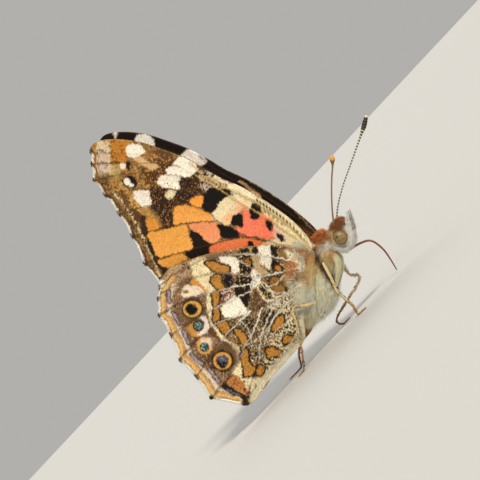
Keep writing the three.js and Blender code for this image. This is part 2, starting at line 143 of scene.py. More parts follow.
bpy.ops.object.select_all(action="DESELECT")
picture_width = PICTURE_SIZE / PIXELS_PER_MM
camera_distance = picture_width * LENS_MM / SENSOR_MM
target = Vector(place(PICTURE_MIDDLE, PICTURE_MIDDLE, AIM_SIDEWAYS))
toward_camera = Vector((math.sin(VIEW_TURN), -math.cos(VIEW_TURN), 0))
across_view = Vector((math.cos(VIEW_TURN), math.sin(VIEW_TURN), 0))
straight_up = Vector((0, 0, 1))
camera_up = straight_up * math.cos(FLOOR_SLOPE) + across_view * math.sin(FLOOR_SLOPE)
camera_right = across_view * math.cos(FLOOR_SLOPE) - straight_up * math.sin(FLOOR_SLOPE)
camera_place = (target + toward_camera * camera_distance) * MM
turn = Matrix((camera_right, camera_up, toward_camera)).transposed()
bpy.ops.object.camera_add(location=camera_place, rotation=turn.to_euler())
camera = bpy.context.object
camera.name = "camera"
camera.data.lens = LENS_MM
camera.data.sensor_width = SENSOR_MM
camera.data.clip_start = NEAREST_SEEN
camera.data.clip_end = FARTHEST_SEEN
bpy.context.scene.camera = camera
print("camera", round(camera_distance), "mm away")

# %% [markdown]
# Floor, air and lamps
#
# The animal stands on a plain pale floor in pale air. A lamp could be a small bright point, but daylight
# is wide and soft, so two distant lamps with soft shadows stand for it: a warm one from the front and a
# weaker one from behind.

# %% Floor, air and lamps
FLOOR_SIZE = 8
FLOOR_GREY = (0.6, 0.6, 0.59, 1)
FLOOR_ROUGHNESS = 0.9
AIR_WHITE = (0.96, 0.94, 0.9, 1)
AIR_STRENGTH = 0.46
LAMP_PLACE = (0, 0, 0.5)


def linear(hexadecimal):
    """A colour as painters write it, turned into the linear numbers that light is added up in."""
    parts = [int(hexadecimal[i:i + 2], 16) / 255 for i in (1, 3, 5)]
    return np.array([c / 12.92 if c <= 0.04045 else ((c + 0.055) / 1.055) ** 2.4 for c in parts])


def add_lamp(name, direction, strength, softness, tint):
    """A distant lamp with soft shadows, shining from a direction."""
    turned = Vector(direction).to_track_quat("Z", "Y").to_euler()
    bpy.ops.object.light_add(type="SUN", location=LAMP_PLACE, rotation=turned)
    lamp = bpy.context.object
    lamp.name = name
    lamp.data.energy = strength
    lamp.data.color = tint
    lamp.data.angle = math.radians(softness)


bpy.ops.mesh.primitive_plane_add(size=FLOOR_SIZE, location=(0, 0, 0))
floor = bpy.context.object
floor.name = "floor"
floor_paint = bpy.data.materials.new("pale_floor")
floor_paint.use_nodes = True
floor_surface = floor_paint.node_tree.nodes["Principled BSDF"]
floor_surface.inputs["Base Color"].default_value = FLOOR_GREY
floor_surface.inputs["Roughness"].default_value = FLOOR_ROUGHNESS
floor.data.materials.append(floor_paint)

air = bpy.data.worlds.new("pale_air")
bpy.context.scene.world = air
air.use_nodes = True
air.node_tree.nodes["Background"].inputs["Color"].default_value = AIR_WHITE
air.node_tree.nodes["Background"].inputs["Strength"].default_value = AIR_STRENGTH
bpy.context.scene.view_settings.view_transform = "Standard"

add_lamp("key_lamp", (0.62, -0.8, 0.62), 3.1, 10, (1.0, 0.93, 0.8))
add_lamp("back_lamp", (-0.5, 1.0, 0.8), 1.1, 40, (1.0, 0.97, 0.93))

# %% [markdown]
# Shader arithmetic written as Python
#
# A material is a small sum over coordinates. To keep that sum readable, a socket is wrapped in a class
# whose operators add the Math nodes, so a formula here looks like the formula on paper.


# %% Sockets that add up
class Signal:
    """A number that travels between the nodes of one material."""

    def __init__(self, tree, socket):
        self.tree = tree
        self.socket = socket

    def node(self, kind, settings, values, output=0):
        """Adds any node: its settings first, then what goes into its sockets."""
        made = self.tree.nodes.new(kind)
        for key, value in settings.items():
            setattr(made, key, value)
        for key, value in values.items():
            if isinstance(value, Signal):
                self.tree.links.new(value.socket, made.inputs[key])
            else:
                made.inputs[key].default_value = value
        return Signal(self.tree, made.outputs[output])

    def maths(self, operation, *values):
        return self.node("ShaderNodeMath", {"operation": operation}, dict(enumerate(values)))

    def __add__(self, other):
        return self.maths("ADD", self, other)

    def __sub__(self, other):
        return self.maths("SUBTRACT", self, other)

    def __rsub__(self, other):
        return self.maths("SUBTRACT", other, self)

    def __mul__(self, other):
        return self.maths("MULTIPLY", self, other)

    __radd__ = __add__
    __rmul__ = __mul__

    def clamped(self):
        return self.node("ShaderNodeClamp", {}, {0: self})

    def scaled_colour(self, amount):
        """The colour made lighter or darker by an amount."""
        return self.node("ShaderNodeVectorMath", {"operation": "SCALE"}, {0: self, "Scale": amount})

    def mixed(self, other, share):
        """This colour turning into another by a share."""
        values = {0: share, 6: self, 7: other}
        return self.node("ShaderNodeMix", {"data_type": "RGBA"}, values, 2)


def new_material(name):
    """A fresh material: its surface shader, and a signal to start from."""
    made = bpy.data.materials.new(name)
    made.use_nodes = True
    tree = made.node_tree
    surface = tree.nodes["Principled BSDF"]
    return made, surface, Signal(tree, surface.outputs[0])


def feed(start, signal, surface, socket):
    start.tree.links.new(signal.socket, surface.inputs[socket])


# %% [markdown]
# Scales on a wing
#
# A butterfly's wing is covered with flat scales about a tenth of a millimetre long, laid like roof tiles
# in rows across the veins. Each scale has one colour, so a marking's edge is a little ragged and no
# colour is even. The markings are a colour kept on the mesh; the tiles are a fine cell texture that
# lightens and darkens it and lifts the surface.


# %% Material of scaled wings and of hair
TONE_LUMPS_PER_MM = 0.9
TONE_CHANGE = 0.12
GRAINS_PER_CELL = 2.4
CELL_MIDDLE = 0.45
WARM_SHEEN = (1.0, 0.9, 0.72, 1)


def scaled_material(name, cells_per_mm, contrast, bump_mm, roughness, sheen):
    """Colour from the mesh, broken into scales or hairs of a size."""
    material, surface, start = new_material(name)
    pigment = start.node("ShaderNodeAttribute", {"attribute_name": "pigment"}, {})
    where = start.node("ShaderNodeTexCoord", {}, {}, 3)
    cells = start.node("ShaderNodeTexVoronoi", {}, {"Vector": where, "Scale": cells_per_mm / MM})
    tone_scale = TONE_LUMPS_PER_MM / MM
    tone = start.node("ShaderNodeTexNoise", {}, {"Vector": where, "Scale": tone_scale, "Detail": 3.0})
    grain_scale = GRAINS_PER_CELL * cells_per_mm / MM
    grain = start.node("ShaderNodeTexNoise", {}, {"Vector": where, "Scale": grain_scale, "Detail": 1.0})
    shade = 1.0 + contrast * (grain - 0.5) * 2.0 + TONE_CHANGE * (tone - 0.5)
    shade = shade + contrast * 0.7 * (CELL_MIDDLE - cells)
    feed(start, pigment.scaled_colour(shade), surface, "Base Color")
    relief = start.node("ShaderNodeBump", {}, {"Height": cells, "Strength": 0.5, "Distance": bump_mm * MM})
    feed(start, relief, surface, "Normal")
    feed(start, (roughness + 0.15 * (grain - 0.5)).clamped(), surface, "Roughness")
    surface.inputs["Sheen Weight"].default_value = sheen
    surface.inputs["Sheen Roughness"].default_value = 0.5
    surface.inputs["Sheen Tint"].default_value = WARM_SHEEN
    surface.inputs["Specular IOR Level"].default_value = 0.12
    return material


wing_scales = scaled_material("wing_scales", 8.5, 0.2, 0.03, 0.62, 0.0)
hair_strands = scaled_material("hair_strands", 9.0, 0.16, 0.0, 0.7, 0.15)
body_scales = scaled_material("body_scales", 8.0, 0.22, 0.03, 0.75, 0.1)

# %% [markdown]
# Lines and distances
#
# Wing margins and veins are smooth lines through a few marks. All patterns on the wings are worked out
# from distances to such lines and to closed patches, so a few helpers measure those distances for many
# points at once.


# %% Smooth lines, distances and noise
def smooth_line(marks, per_span=6):
    """A Catmull-Rom line through marks, as an array of points."""
    marks = np.asarray(marks, float)
    padded = np.vstack([2 * marks[0] - marks[1], marks, 2 * marks[-1] - marks[-2]])
    share = np.linspace(0, 1, per_span, endpoint=False)[:, None]
    spans = []
    for a, b, c, d in zip(padded, padded[1:], padded[2:], padded[3:]):
        cubic = 2 * b + (c - a) * share + (2 * a - 5 * b + 4 * c - d) * share**2
        spans.append(0.5 * (cubic + (3 * b - a - 3 * c + d) * share**3))
    return np.vstack(spans + [marks[-1:]])


def smooth_closed(outline):
    """A closed outline rounded off at its corners."""
    marks = np.asarray(outline, float)
    around = np.vstack([marks[-1:], marks, marks[:2]])
    return smooth_line(around, 4)[4:-5]


def line_distance(points, line):
    """Distance of every point to a line, and how far along the line the nearest place is."""
    best = np.full(len(points), np.inf)
    along = np.zeros(len(points))
    run = 0.0
    for start, end in zip(line[:-1], line[1:]):
        step = end - start
        length = math.hypot(*step)
        share = np.clip(((points - start) @ step) / max(length**2, 1e-12), 0, 1)
        gap = np.hypot(*(points - start - share[:, None] * step).T)
        nearer = gap < best
        best[nearer] = gap[nearer]
        along[nearer] = run + share[nearer] * length
        run += length
    return best, along


def inside_of(points, outline):
    """Which points lie inside a closed outline."""
    inside = np.zeros(len(points), bool)
    for (x1, y1), (x2, y2) in zip(outline, np.roll(outline, -1, axis=0)):
        if y1 == y2:
            continue
        crosses = (y1 > points[:, 1]) != (y2 > points[:, 1])
        crossing = (x2 - x1) * (points[:, 1] - y1) / (y2 - y1) + x1
        inside ^= crosses & (points[:, 0] < crossing)
    return inside


def signed_distance(points, outline):
    """Distance to a closed outline, negative inside it."""
    closed = np.vstack([outline, outline[:1]])
    gap = line_distance(points, closed)[0]
    return np.where(inside_of(points, outline), -gap, gap)


LATTICE = np.random.default_rng(7).random((256, 256))


def noise(points, size, seed=0):
    """Smooth noise from 0 to 1 whose lumps have a size."""
    grid = points / size + 31.7 * seed
    corner = np.floor(grid).astype(int)
    share = grid - corner
    share = share * share * (3 - 2 * share)
    x, y = corner[:, 0], corner[:, 1]
    values = [LATTICE[(x + dx) % 256, (y + dy) % 256] for dx in (0, 1) for dy in (0, 1)]
    left = values[0] * (1 - share[:, 1]) + values[1] * share[:, 1]
    right = values[2] * (1 - share[:, 1]) + values[3] * share[:, 1]
    return left * (1 - share[:, 0]) + right * share[:, 0]


# %% [markdown]
# A painter for markings
#
# The painter holds the picture marks of every vertex and a colour for each. It lays down washes,
# patches, spots, lines and speckles, each with an edge roughened by noise of a scale's size, as the
# coloured scales of a real wing give. It works in the picture's pixels, because that is where the
# markings were read. The strokes of a region are a named list, laid on in order, the lowest first.


# %% The painter
FINE_LUMP = 1.6
FINE_WANDER = 1.9
COARSE_LUMP = 5.0
COARSE_WANDER = 1.6


class Painter:
    """Colours for the vertices of one surface, laid on from marks in the picture."""

    def __init__(self, across, down, base, ragged=1.0):
        self.marks = np.column_stack([across, down])
        fine = np.column_stack([noise(self.marks, FINE_LUMP, seed) for seed in (1, 2)]) - 0.5
        coarse = np.column_stack([noise(self.marks, COARSE_LUMP, seed) for seed in (3, 4)]) - 0.5
        self.rough = self.marks + fine * FINE_WANDER * ragged + coarse * COARSE_WANDER * ragged
        self.colour = np.tile(linear(base), (len(self.marks), 1))

    def lay(self, amount, colour):
        amount = np.clip(amount, 0, 1)[:, None]
        self.colour = self.colour * (1 - amount) + linear(colour) * amount

    def edge(self, distance, soft):
        return np.clip(0.5 - distance / soft, 0, 1)

    def near(self, shape, reach):
        """Which points are close enough to a shape to be touched by it."""
        low, high = shape.min(0) - reach, shape.max(0) + reach
        return np.all((self.rough > low) & (self.rough < high), axis=1)

    def amount_in(self, shape, soft, grow=0.0):
        """How much of a closed shape, made larger by an amount, covers each point."""
        amount = np.zeros(len(self.marks))
        near = self.near(shape, soft + grow + 1)
        amount[near] = self.edge(signed_distance(self.rough[near], shape) - grow, soft)
        return amount

    def patch(self, outline, colour, soft=1.2, strength=1.0, outlined=None, rim=1.4):
        """A patch with a closed outline, if wished with a dark rim."""
        shape = smooth_closed(outline)
        if outlined:
            self.lay(strength * self.amount_in(shape, soft, rim), outlined)
        self.lay(strength * self.amount_in(shape, soft), colour)

    def spot(self, across, down, half_width, half_height, colour, tilt=0.0, soft=1.1, strength=1.0,
             clean=False):
        """An oval, its tilt in degrees."""
        marks = self.marks if clean else self.rough
        turn_by = math.radians(tilt)
        dx, dy = marks[:, 0] - across, marks[:, 1] - down
        long = (dx * math.cos(turn_by) + dy * math.sin(turn_by)) / half_width
        wide = (dy * math.cos(turn_by) - dx * math.sin(turn_by)) / half_height
        distance = (np.hypot(long, wide) - 1) * min(half_width, half_height)
        self.lay(strength * self.edge(distance, soft), colour)

    def line(self, marks, width, colour, soft=1.0, strength=1.0, fade=0.0, clean=False):
        """A stroke along a smooth line. Fade is how much of its strength is gone at its end."""
        path = smooth_line(marks)
        near = self.near(path, width + soft + 1)
        points = (self.marks if clean else self.rough)[near]
        distance, along = line_distance(points, path)
        length = np.hypot(*np.diff(path, axis=0).T).sum()
        amount = np.zeros(len(self.marks))
        amount[near] = strength * (1 - fade * along / length) * self.edge(distance - width / 2, soft)
        self.lay(amount, colour)

    def speckle(self, outline, colour, size=1.6, share=0.4, seed=5, strength=1.0, soft=4.0):
        """Single scales of another colour, scattered inside an outline."""
        region = 1.0 if outline is None else self.amount_in(smooth_closed(outline), soft)
        grains = noise(self.marks, size, seed) + 0.35 * (noise(self.marks, size * 0.5, seed + 1) - 0.5)
        chosen = np.clip((grains - (1 - share)) / 0.12, 0, 1)
        self.lay(strength * region * chosen, colour)

    def follow(self, strokes):
        """Lays on a list of strokes: the kind of each, then what that kind is given, in its order."""
        kinds = {"patch": self.patch, "spot": self.spot, "line": self.line, "speckle": self.speckle}
        for kind, *given in strokes:
            kinds[kind](*given)


# %% [markdown]
# Shapes drawn out of a ball
#
# The body, legs, feelers, palps and tongue are all closed, round and long. Each starts as a ball whose
# rings are spread along a line and set to a radius, so the mesh is closed at both ends, runs round in
# clean rings, and keeps the ball's own map: once round and once along.


# %% Ball to limb
def finish_piece(piece, name, material, replaced):
    """Names a piece, gives it its finish and ties it to the frame."""
    piece.name = name
    piece.data.name = name
    piece.data.materials.clear()
    piece.data.materials.append(material)
    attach(piece, "root")
    if replaced:
        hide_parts(*replaced)
    return piece


def vertices_of(piece):
    corners = np.zeros(len(piece.data.vertices) * 3)
    piece.data.vertices.foreach_get("co", corners)
    return corners.reshape(-1, 3)


def give_pigment(piece, colours):
    """Keeps a colour for each vertex of a piece."""
    paint = piece.data.attributes.new("pigment", "FLOAT_COLOR", "POINT")
    paint.data.foreach_set("color", np.column_stack([colours, np.ones(len(colours))]).ravel())


def ball_mesh(segments, rings):
    """A ball at the origin; returns its object, and each vertex's share along and turn around."""
    bpy.ops.object.select_all(action="DESELECT")
    bpy.ops.mesh.primitive_uv_sphere_add(segments=segments, ring_count=rings, radius=1,
                                         location=(0, 0, 0))
    ball = bpy.context.object
    corners = vertices_of(ball)
    along = np.arccos(np.clip(corners[:, 2], -1, 1)) / math.pi
    around = np.arctan2(corners[:, 1], corners[:, 0])
    return ball, along, around


def set_vertices(piece, corners):
    piece.data.vertices.foreach_set("co", np.ascontiguousarray(corners, float).ravel())
    piece.data.update()


def recalculate_outside(piece):
    """Turns all faces outward."""
    bpy.ops.object.select_all(action="DESELECT")
    piece.select_set(True)
    bpy.context.view_layer.objects.active = piece
    bpy.ops.object.mode_set(mode="EDIT")
    bpy.ops.mesh.select_all(action="SELECT")
    bpy.ops.mesh.normals_make_consistent(inside=False)
    bpy.ops.object.mode_set(mode="OBJECT")
    bpy.ops.object.shade_smooth()


def spread(values, share):
    """Values given evenly along a line, read at any share of its length, smoothly."""
    line = smooth_line(np.asarray(values, float).reshape(len(values), -1), 8)
    position = np.clip(share, 0, 1) * (len(line) - 1)
    return np.column_stack([np.interp(position, np.arange(len(line)), column) for column in line.T])


def rounded_ends(share, end):
    """From 0 at both ends up to 1, as round caps."""
    near = np.clip(np.minimum(share, 1 - share) / end, 0, 1)
    return np.sqrt(1 - (1 - near) ** 2)


# %% Along a limb
FLOOR_CLEARANCE = 0.03
SWOLLEN = 1.4
SMALL_STEP = 0.005
ASKEW = [0.1, 0.3, 1.0]


def guide(path, radii):
    """Reads a smooth line and its radius at any share of its length."""
    line = smooth_line(np.column_stack([np.array(path), radii]), 10)
    run = np.concatenate([[0], np.cumsum(np.linalg.norm(np.diff(line[:, :3], axis=0), axis=1))])

    def read(share):
        at = np.clip(share, 0, 1) * run[-1]
        found = np.column_stack([np.interp(at, run, column) for column in line.T])
        found[:, 2] = np.maximum(found[:, 2], SWOLLEN * found[:, 3] + FLOOR_CLEARANCE)
        return found
    return read


def cross_directions(read, share):
    """Along a line: its direction and two directions across it."""
    ahead = (read(share + SMALL_STEP) - read(share - SMALL_STEP))[:, :3]
    ahead /= np.linalg.norm(ahead, axis=1)[:, None]
    across = np.cross(ahead, ASKEW)
    across /= np.linalg.norm(across, axis=1)[:, None]
    return ahead, across, np.cross(ahead, across)


def one_colour(colour):
    """The same colour for every place on a piece or hair of a tuft."""
    return lambda along, *rest: np.tile(linear(colour), (len(along), 1))


def fading(first, last, start, length):
    """One colour turning into another along a piece, from a share of its length on."""
    def colour_at(along, *rest):
        shade = np.clip((along - start) / length, 0, 1)[:, None]
        return linear(first) * (1 - shade) + linear(last) * shade
    return colour_at


def swelling(count, height):
    """Rings along a piece, as a change of its radius."""
    return lambda share: 1 + height * np.cos(share * count * 2 * math.pi)


def limb(name, path, radii, material, replaced, segments, rings, profile, end, colour_of=None):
    """A long round piece along a line in millimetres; profile swells and colour_of colours it."""
    ball, along, around = ball_mesh(segments, rings)
    read = guide(path, radii)
    ahead, across, other = cross_directions(read, along)
    radius = read(along)[:, 3] * rounded_ends(along, end)
    if profile is not None:
        radius = radius * profile(along)
    offset = across * np.cos(around)[:, None] + other * np.sin(around)[:, None]
    set_vertices(ball, (read(along)[:, :3] + offset * radius[:, None]) * MM)
    recalculate_outside(ball)
    if colour_of is not None:
        give_pigment(ball, colour_of(along))
    return finish_piece(ball, name, material, replaced)


# %% [markdown]
# Hair
#
# Hair and long scales are thin tapered spikes of solid mesh. Each starts a little under the skin, rises
# and then bends over to lie along the body. All spikes of a region are one mesh, built from arrays.
# The map OFBake gives each spike a tiny patch at its root's place on the skin's own map.


# %% Tufts as one mesh
THIRD_OF_TURN = 2.0944
TIP_BEND = 1.6
KNEE_WIDTH = 0.75
OFF_LINE = [0.013, 0.021, 0.017]
LIGHTEST = 0.96
# painted light: each hair is lighter from its knee to its tip, standing in for light that the dense hair keeps off
# itself
PAINTED_LIGHT_TO_TIP = np.array([1.0, 1.0, 1.0, 1.3, 1.3, 1.3, 1.5])
HAIR_PATCH = 0.003
HAIR_CHART = [[0, 0], [1, 0], [0.5, 0.8], [0.1, 0.4], [0.9, 0.4], [0.5, 1], [0.5, 0.5]]
HAIR_FACES = [(0, 2, 1)]
for a, b in ((0, 1), (1, 2), (2, 0)):
    HAIR_FACES += [(a, b, b + 3), (a, b + 3, a + 3), (a + 3, b + 3, 6)]


def unit(directions):
    return directions / np.maximum(np.linalg.norm(directions, axis=1), 1e-9)[:, None]


def tufts(name, roots, rise, lie, lengths, widths, colours, root_maps):
    """Spikes with three sides: rise is their direction at the root, lie at the tip."""
    rise, lie = unit(rise), unit(lie)
    ends = roots + (rise + unit(rise + TIP_BEND * lie)) * lengths[:, None] * 0.5
    clear = (ends[:, 2] > FLOOR_CLEARANCE) & (roots[:, 2] > FLOOR_CLEARANCE)
    arrays = (roots, rise, lie, lengths, widths, colours, root_maps)
    roots, rise, lie, lengths, widths, colours, root_maps = (values[clear] for values in arrays)
    side = unit(np.cross(rise, lie + OFF_LINE))
    up = unit(np.cross(side, rise))
    half = lengths[:, None] * 0.5
    knee = roots + rise * half
    tip = knee + unit(rise + TIP_BEND * lie) * half
    corners = []
    for level, centre in ((1.0, roots), (KNEE_WIDTH, knee)):
        for turn_by in (0.0, THIRD_OF_TURN, 2 * THIRD_OF_TURN):
            ring = side * math.cos(turn_by) + up * math.sin(turn_by)
            corners.append(centre + ring * (widths * level * 0.5)[:, None])
    corners.append(tip)
    size = len(corners)
    vertices = np.stack(corners, axis=1).reshape(-1, 3) * MM
    faces = (np.arange(len(roots))[:, None, None] * size + np.array(HAIR_FACES)[None]).reshape(-1, 3)
    mesh = bpy.data.meshes.new(name)
    mesh.from_pydata(vertices.tolist(), [], faces.tolist())
    coat = bpy.data.objects.new(name, mesh)
    bpy.context.collection.objects.link(coat)
    # painted light: colours grow lighter toward each hair's tip, at most LIGHTEST
    shades = np.minimum(colours[:, None, :] * PAINTED_LIGHT_TO_TIP[None, :, None], LIGHTEST)
    give_pigment(coat, shades.reshape(-1, 3))
    chart = mesh.uv_layers.new(name="OFBake")
    loops = faces.ravel()
    patch = np.array(HAIR_CHART) * HAIR_PATCH
    chart.data.foreach_set("uv", (root_maps[loops // size] + patch[loops % size]).ravel())
    recalculate_outside(coat)
    print(name, len(roots), "tufts")
    return finish_piece(coat, name, hair_strands, ())


def around_and_along(turn_by, along):
    """A root's place on the skin's own map: once round and once along."""
    return np.column_stack([turn_by, 1 - along]) * 0.99

# %% [markdown]
# The body
#
# Head, thorax and abdomen are one skin in life, so one skin replaces the three solids, with no seam.
# It lies inside them by the depth of the hair. It could be three balls pushed into each other, but a seam
# would show. A station is a mark on the back, a mark on the belly and half the width in millimetres, as
# for the solids, and the skin runs through all stations from the face to the tail.

# %% Body skin
BODY_STATIONS = [
    ((345, 220), (349, 223), 0.35), ((336, 220), (348, 227), 0.95), ((330, 227), (348, 235), 1.3),
    ((327, 232), (346, 242), 1.3), ((325, 236), (341, 247), 1.0), ((321, 236.5), (337, 249.5), 1.05),
    ((315, 238), (337, 255), 1.4), ((308, 247), (336, 267), 1.75), ((302, 260), (337, 281), 1.95),
    ((297, 275), (338, 295), 1.95), ((293, 289), (332, 308), 1.9), ((291, 301), (320, 318), 1.75),
    ((287, 310), (310, 326), 1.55), ((279, 323), (302, 341), 1.6), ((269, 340), (289.5, 356.5), 1.5),
    ((258.5, 356), (275.5, 371), 1.25), ((250.5, 368.5), (263.5, 381.5), 0.95),
    ((247, 378), (254, 386), 0.5),
]
COAT_DEPTH = 0.22
BODY_CAP = 0.045
LEAST_REACH = 0.1
STATION_STEP = 0.01
SKIN_SHADE = 0.9

backs = [place(*back, 0) for back, under, half in BODY_STATIONS]
bellies = [place(*under, 0) for back, under, half in BODY_STATIONS]
halves = [half for back, under, half in BODY_STATIONS]


def body_surface(along, around):
    """Points of the skin, their outward directions and the direction to the tail."""
    back, belly = spread(backs, along), spread(bellies, along)
    half = spread(halves, along)[:, 0]
    centre = (back + belly) / 2
    reach = (back - belly) / 2
    tall = np.linalg.norm(reach, axis=1)
    caps = rounded_ends(along, BODY_CAP)
    rise = reach / tall[:, None]
    tall = np.maximum(tall - COAT_DEPTH, LEAST_REACH) * caps
    wide = np.maximum(half - COAT_DEPTH, LEAST_REACH) * caps
    sideways = np.array([0.0, 1.0, 0.0])
    cosine, sine = np.cos(around), np.sin(around)
    points = centre + rise * (cosine * tall)[:, None] + sideways * (sine * wide)[:, None]
    outward = unit(rise * (cosine * wide)[:, None] + sideways * (sine * tall)[:, None])
    ahead = spread(backs, along + STATION_STEP) + spread(bellies, along + STATION_STEP)
    ahead -= spread(backs, along - STATION_STEP) + spread(bellies, along - STATION_STEP)
    ahead /= np.linalg.norm(ahead, axis=1)[:, None]
    return points, outward, ahead


HAIR_BEIGE = "#e0c48e"
HAIR_PALE = "#fff2cc"
HAIR_BROWN = "#3d2715"
COLLAR_ORANGE = "#b46a34"
HAIR_ORANGE = "#bd7f45"
FACE_WHITE = "#f7f2e6"
ABDOMEN_BROWN = "#7d6446"
ABDOMEN_PALE = "#d2c5a5"


# %% Marks on the body
BODY_MARKINGS = [
    ("patch", [(320, 272), (344, 256), (350, 285), (344, 316), (310, 334), (290, 324), (304, 296)],
     HAIR_PALE, 9),
    ("patch", [(295, 305), (315, 322), (262, 392), (240, 380)], ABDOMEN_PALE, 6),
    ("line", [(288, 306), (270, 335), (247, 372)], 12, ABDOMEN_BROWN, 6),
    ("patch", [(310, 226), (326, 224), (331, 236), (325, 246), (312, 248), (306, 238)], COLLAR_ORANGE, 5),
    ("spot", 307, 256, 9, 7, HAIR_ORANGE, 0, 7, 0.9),
    ("spot", 304, 276, 10, 6, HAIR_ORANGE, 0, 7, 0.8),
    ("spot", 325, 245, 5, 4.5, "#cfcabb", 0, 4),
    ("line", [(319, 250), (326, 262), (333, 277), (338, 288)], 6, HAIR_BROWN, 3),
    ("line", [(331, 250), (335, 260), (339, 272)], 5, HAIR_ORANGE, 4, 0.7),
    ("patch", [(328, 216), (345, 214), (346, 226), (338, 230), (329, 230)], "#7c5230", 4),
    ("spot", 328, 238, 6, 6, "#9a6236", 0, 4, 0.9),
    ("line", [(330, 242), (336, 246), (342, 247), (349, 246)], 6, FACE_WHITE, 3),
    ("spot", 349, 234, 5.5, 15, FACE_WHITE, 0, 4),
]

# %% Colour and make the body
def body_colours(points):
    """The body's markings at any points, in millimetres, for skin and hair alike."""
    across, down = to_picture(points[:, 0], points[:, 2], 0.0)
    painter = Painter(across, down, HAIR_BEIGE, 1.6)
    painter.follow(BODY_MARKINGS)
    return painter.colour


body, body_along, body_around = ball_mesh(64, 150)
skin_points = body_surface(body_along, body_around)[0]
set_vertices(body, skin_points * MM)
recalculate_outside(body)
give_pigment(body, body_colours(skin_points) * SKIN_SHADE)
finish_piece(body, "body_skin", body_scales, ["head", "thorax", "abdomen"])
print("body skin", len(body.data.vertices), "vertices")

# %% [markdown]
# Hair of the body
#
# The hair is long and upright on head, nape and breast, longer and laid back on the thorax, short and
# flat on the abdomen. It could be combed by hand, but regions of the skin with a length, a lift and a
# wildness of their own give the same and are easy to change. No hair starts inside an eye.

# %% Body hair
random = np.random.default_rng(11)
EYE_RADII = np.array([0.9, 0.72, 1.0])
EYE_CLEARANCE = 1.06
ROOT_DEPTH = 0.05
UNDERSIDE = math.pi
BODY_HAIR = {
    "coat_head": (0.01, 0.2, 5600, 0.8, 1.5, 0.03, 0.55),
    "coat_collar": (0.19, 0.33, 3400, 0.85, 1.1, 0.038, 0.42),
    "coat_nape": (0.2, 0.36, 1700, 1.15, 1.8, 0.034, 0.4, 1.0),
    "coat_breast": (0.33, 0.66, 2600, 1.05, 2.6, 0.034, 0.6, 1.3, UNDERSIDE),
    "coat_thorax": (0.3, 0.7, 13500, 1.25, 0.85, 0.038),
    "coat_abdomen": (0.66, 0.99, 5600, 0.6, 0.35, 0.045),
}
eye_centres = {word: np.array(tuple((low + high) / 2 / MM)) for word, (low, high) in zip(SIDES, eye_boxes)}


def body_hair(name, start, end, count, length, lift, width, wild=0.26, half_turn=math.pi, toward=0.0):
    """Hair on the stretch of body between two shares of its length."""
    along = random.uniform(start, end, count)
    around = toward + random.uniform(-half_turn, half_turn, count)
    points, outward, tailward = body_surface(along, around)
    eye_gaps = [np.linalg.norm((points - centre) / EYE_RADII, axis=1) for centre in eye_centres.values()]
    keep = np.minimum(*eye_gaps) > EYE_CLEARANCE
    points, outward, tailward = points[keep], outward[keep], tailward[keep]
    along, around = along[keep], around[keep]
    jitter = random.normal(0, wild, points.shape)
    lengths = length * random.uniform(0.5, 1.15, len(points))
    widths = width * random.uniform(0.7, 1.3, len(points))
    colours = body_colours(points + tailward * 0.2) * random.uniform(0.75, 1.25, len(points))[:, None]
    maps = around_and_along((around / (2 * math.pi) + 0.5) % 1, along)
    return tufts(name, points - outward * ROOT_DEPTH, outward * lift + tailward + jitter,
                 tailward + outward * 0.1 + jitter, lengths, widths, colours, maps)


for name, region in BODY_HAIR.items():
    body_hair(name, *region)

# %% [markdown]
# Hair from the thorax over the wing roots
#
# Where the wings leave the thorax, its longest hair lies back and down over their roots and hides the
# joint. It could be part of the thorax's hair, but it has its own direction, the same for all hairs, so
# it is a tuft of its own on each side.

# %% Hair over the wing roots
SIDE_LOW, SIDE_HIGH = np.array([300, 242]), np.array([319, 330])
SIDE_STRETCH = (0.3, 0.68)
SIDE_HALF_TURN = 0.9
SIDE_TRIES = 9000
SIDE_WIDTH = 0.034

for word, side in SIDES.items():
    along = random.uniform(*SIDE_STRETCH, SIDE_TRIES)
    around = side * math.pi / 2 + random.uniform(-SIDE_HALF_TURN, SIDE_HALF_TURN, SIDE_TRIES)
    points, outward, tailward = body_surface(along, around)
    marks = np.column_stack(to_picture(points[:, 0], points[:, 2], 0.0))
    chosen = np.all((marks > SIDE_LOW) & (marks < SIDE_HIGH), axis=1)
    points, outward, tailward = points[chosen], outward[chosen], tailward[chosen]
    along, around = along[chosen], around[chosen]
    count = len(points)
    lying = np.array([-1.0, 0.1 * side, -0.45]) + random.normal(0, 0.3, points.shape)
    rise = outward + tailward * 0.1 + random.normal(0, 0.15, points.shape)
    shades = body_colours(points + [-0.5, 0, 0]) * random.uniform(0.8, 1.25, count)[:, None]
    tufts(f"coat_side_{word}", points - outward * ROOT_DEPTH, rise, lying, random.uniform(1.0, 2.3, count),
          np.full(count, SIDE_WIDTH), shades, around_and_along(around / (2 * math.pi) + 0.5, along))

# %% [markdown]
# Eyes
#
# A painted lady's eye is a khaki ball of thousands of facets. Where facets point at the viewer they
# look black: the false pupils, small dark dots round a larger one. The facets are a fine cell texture.

# %% Eyes
EYE_KHAKI = "#8a7242"
EYE_DARK = "#34230f"
FACETS_PER_MM = 26
FACET_BUMP_MM = 0.012
EYE_REACH = 8.0
# painted shade: the eye darkens from this share of its reach out to its rim, as seen from the camera
SHADED_RIM_START = 0.72
SHADED_RIM_STRENGTH = 2.4
FALSE_PUPILS = [(-2.4, -1.6, 1.5), (1.4, -3.2, 0.8), (0.4, 1.4, 0.9), (-4.4, 0.8, 0.9), (3.6, 0.2, 0.7)]


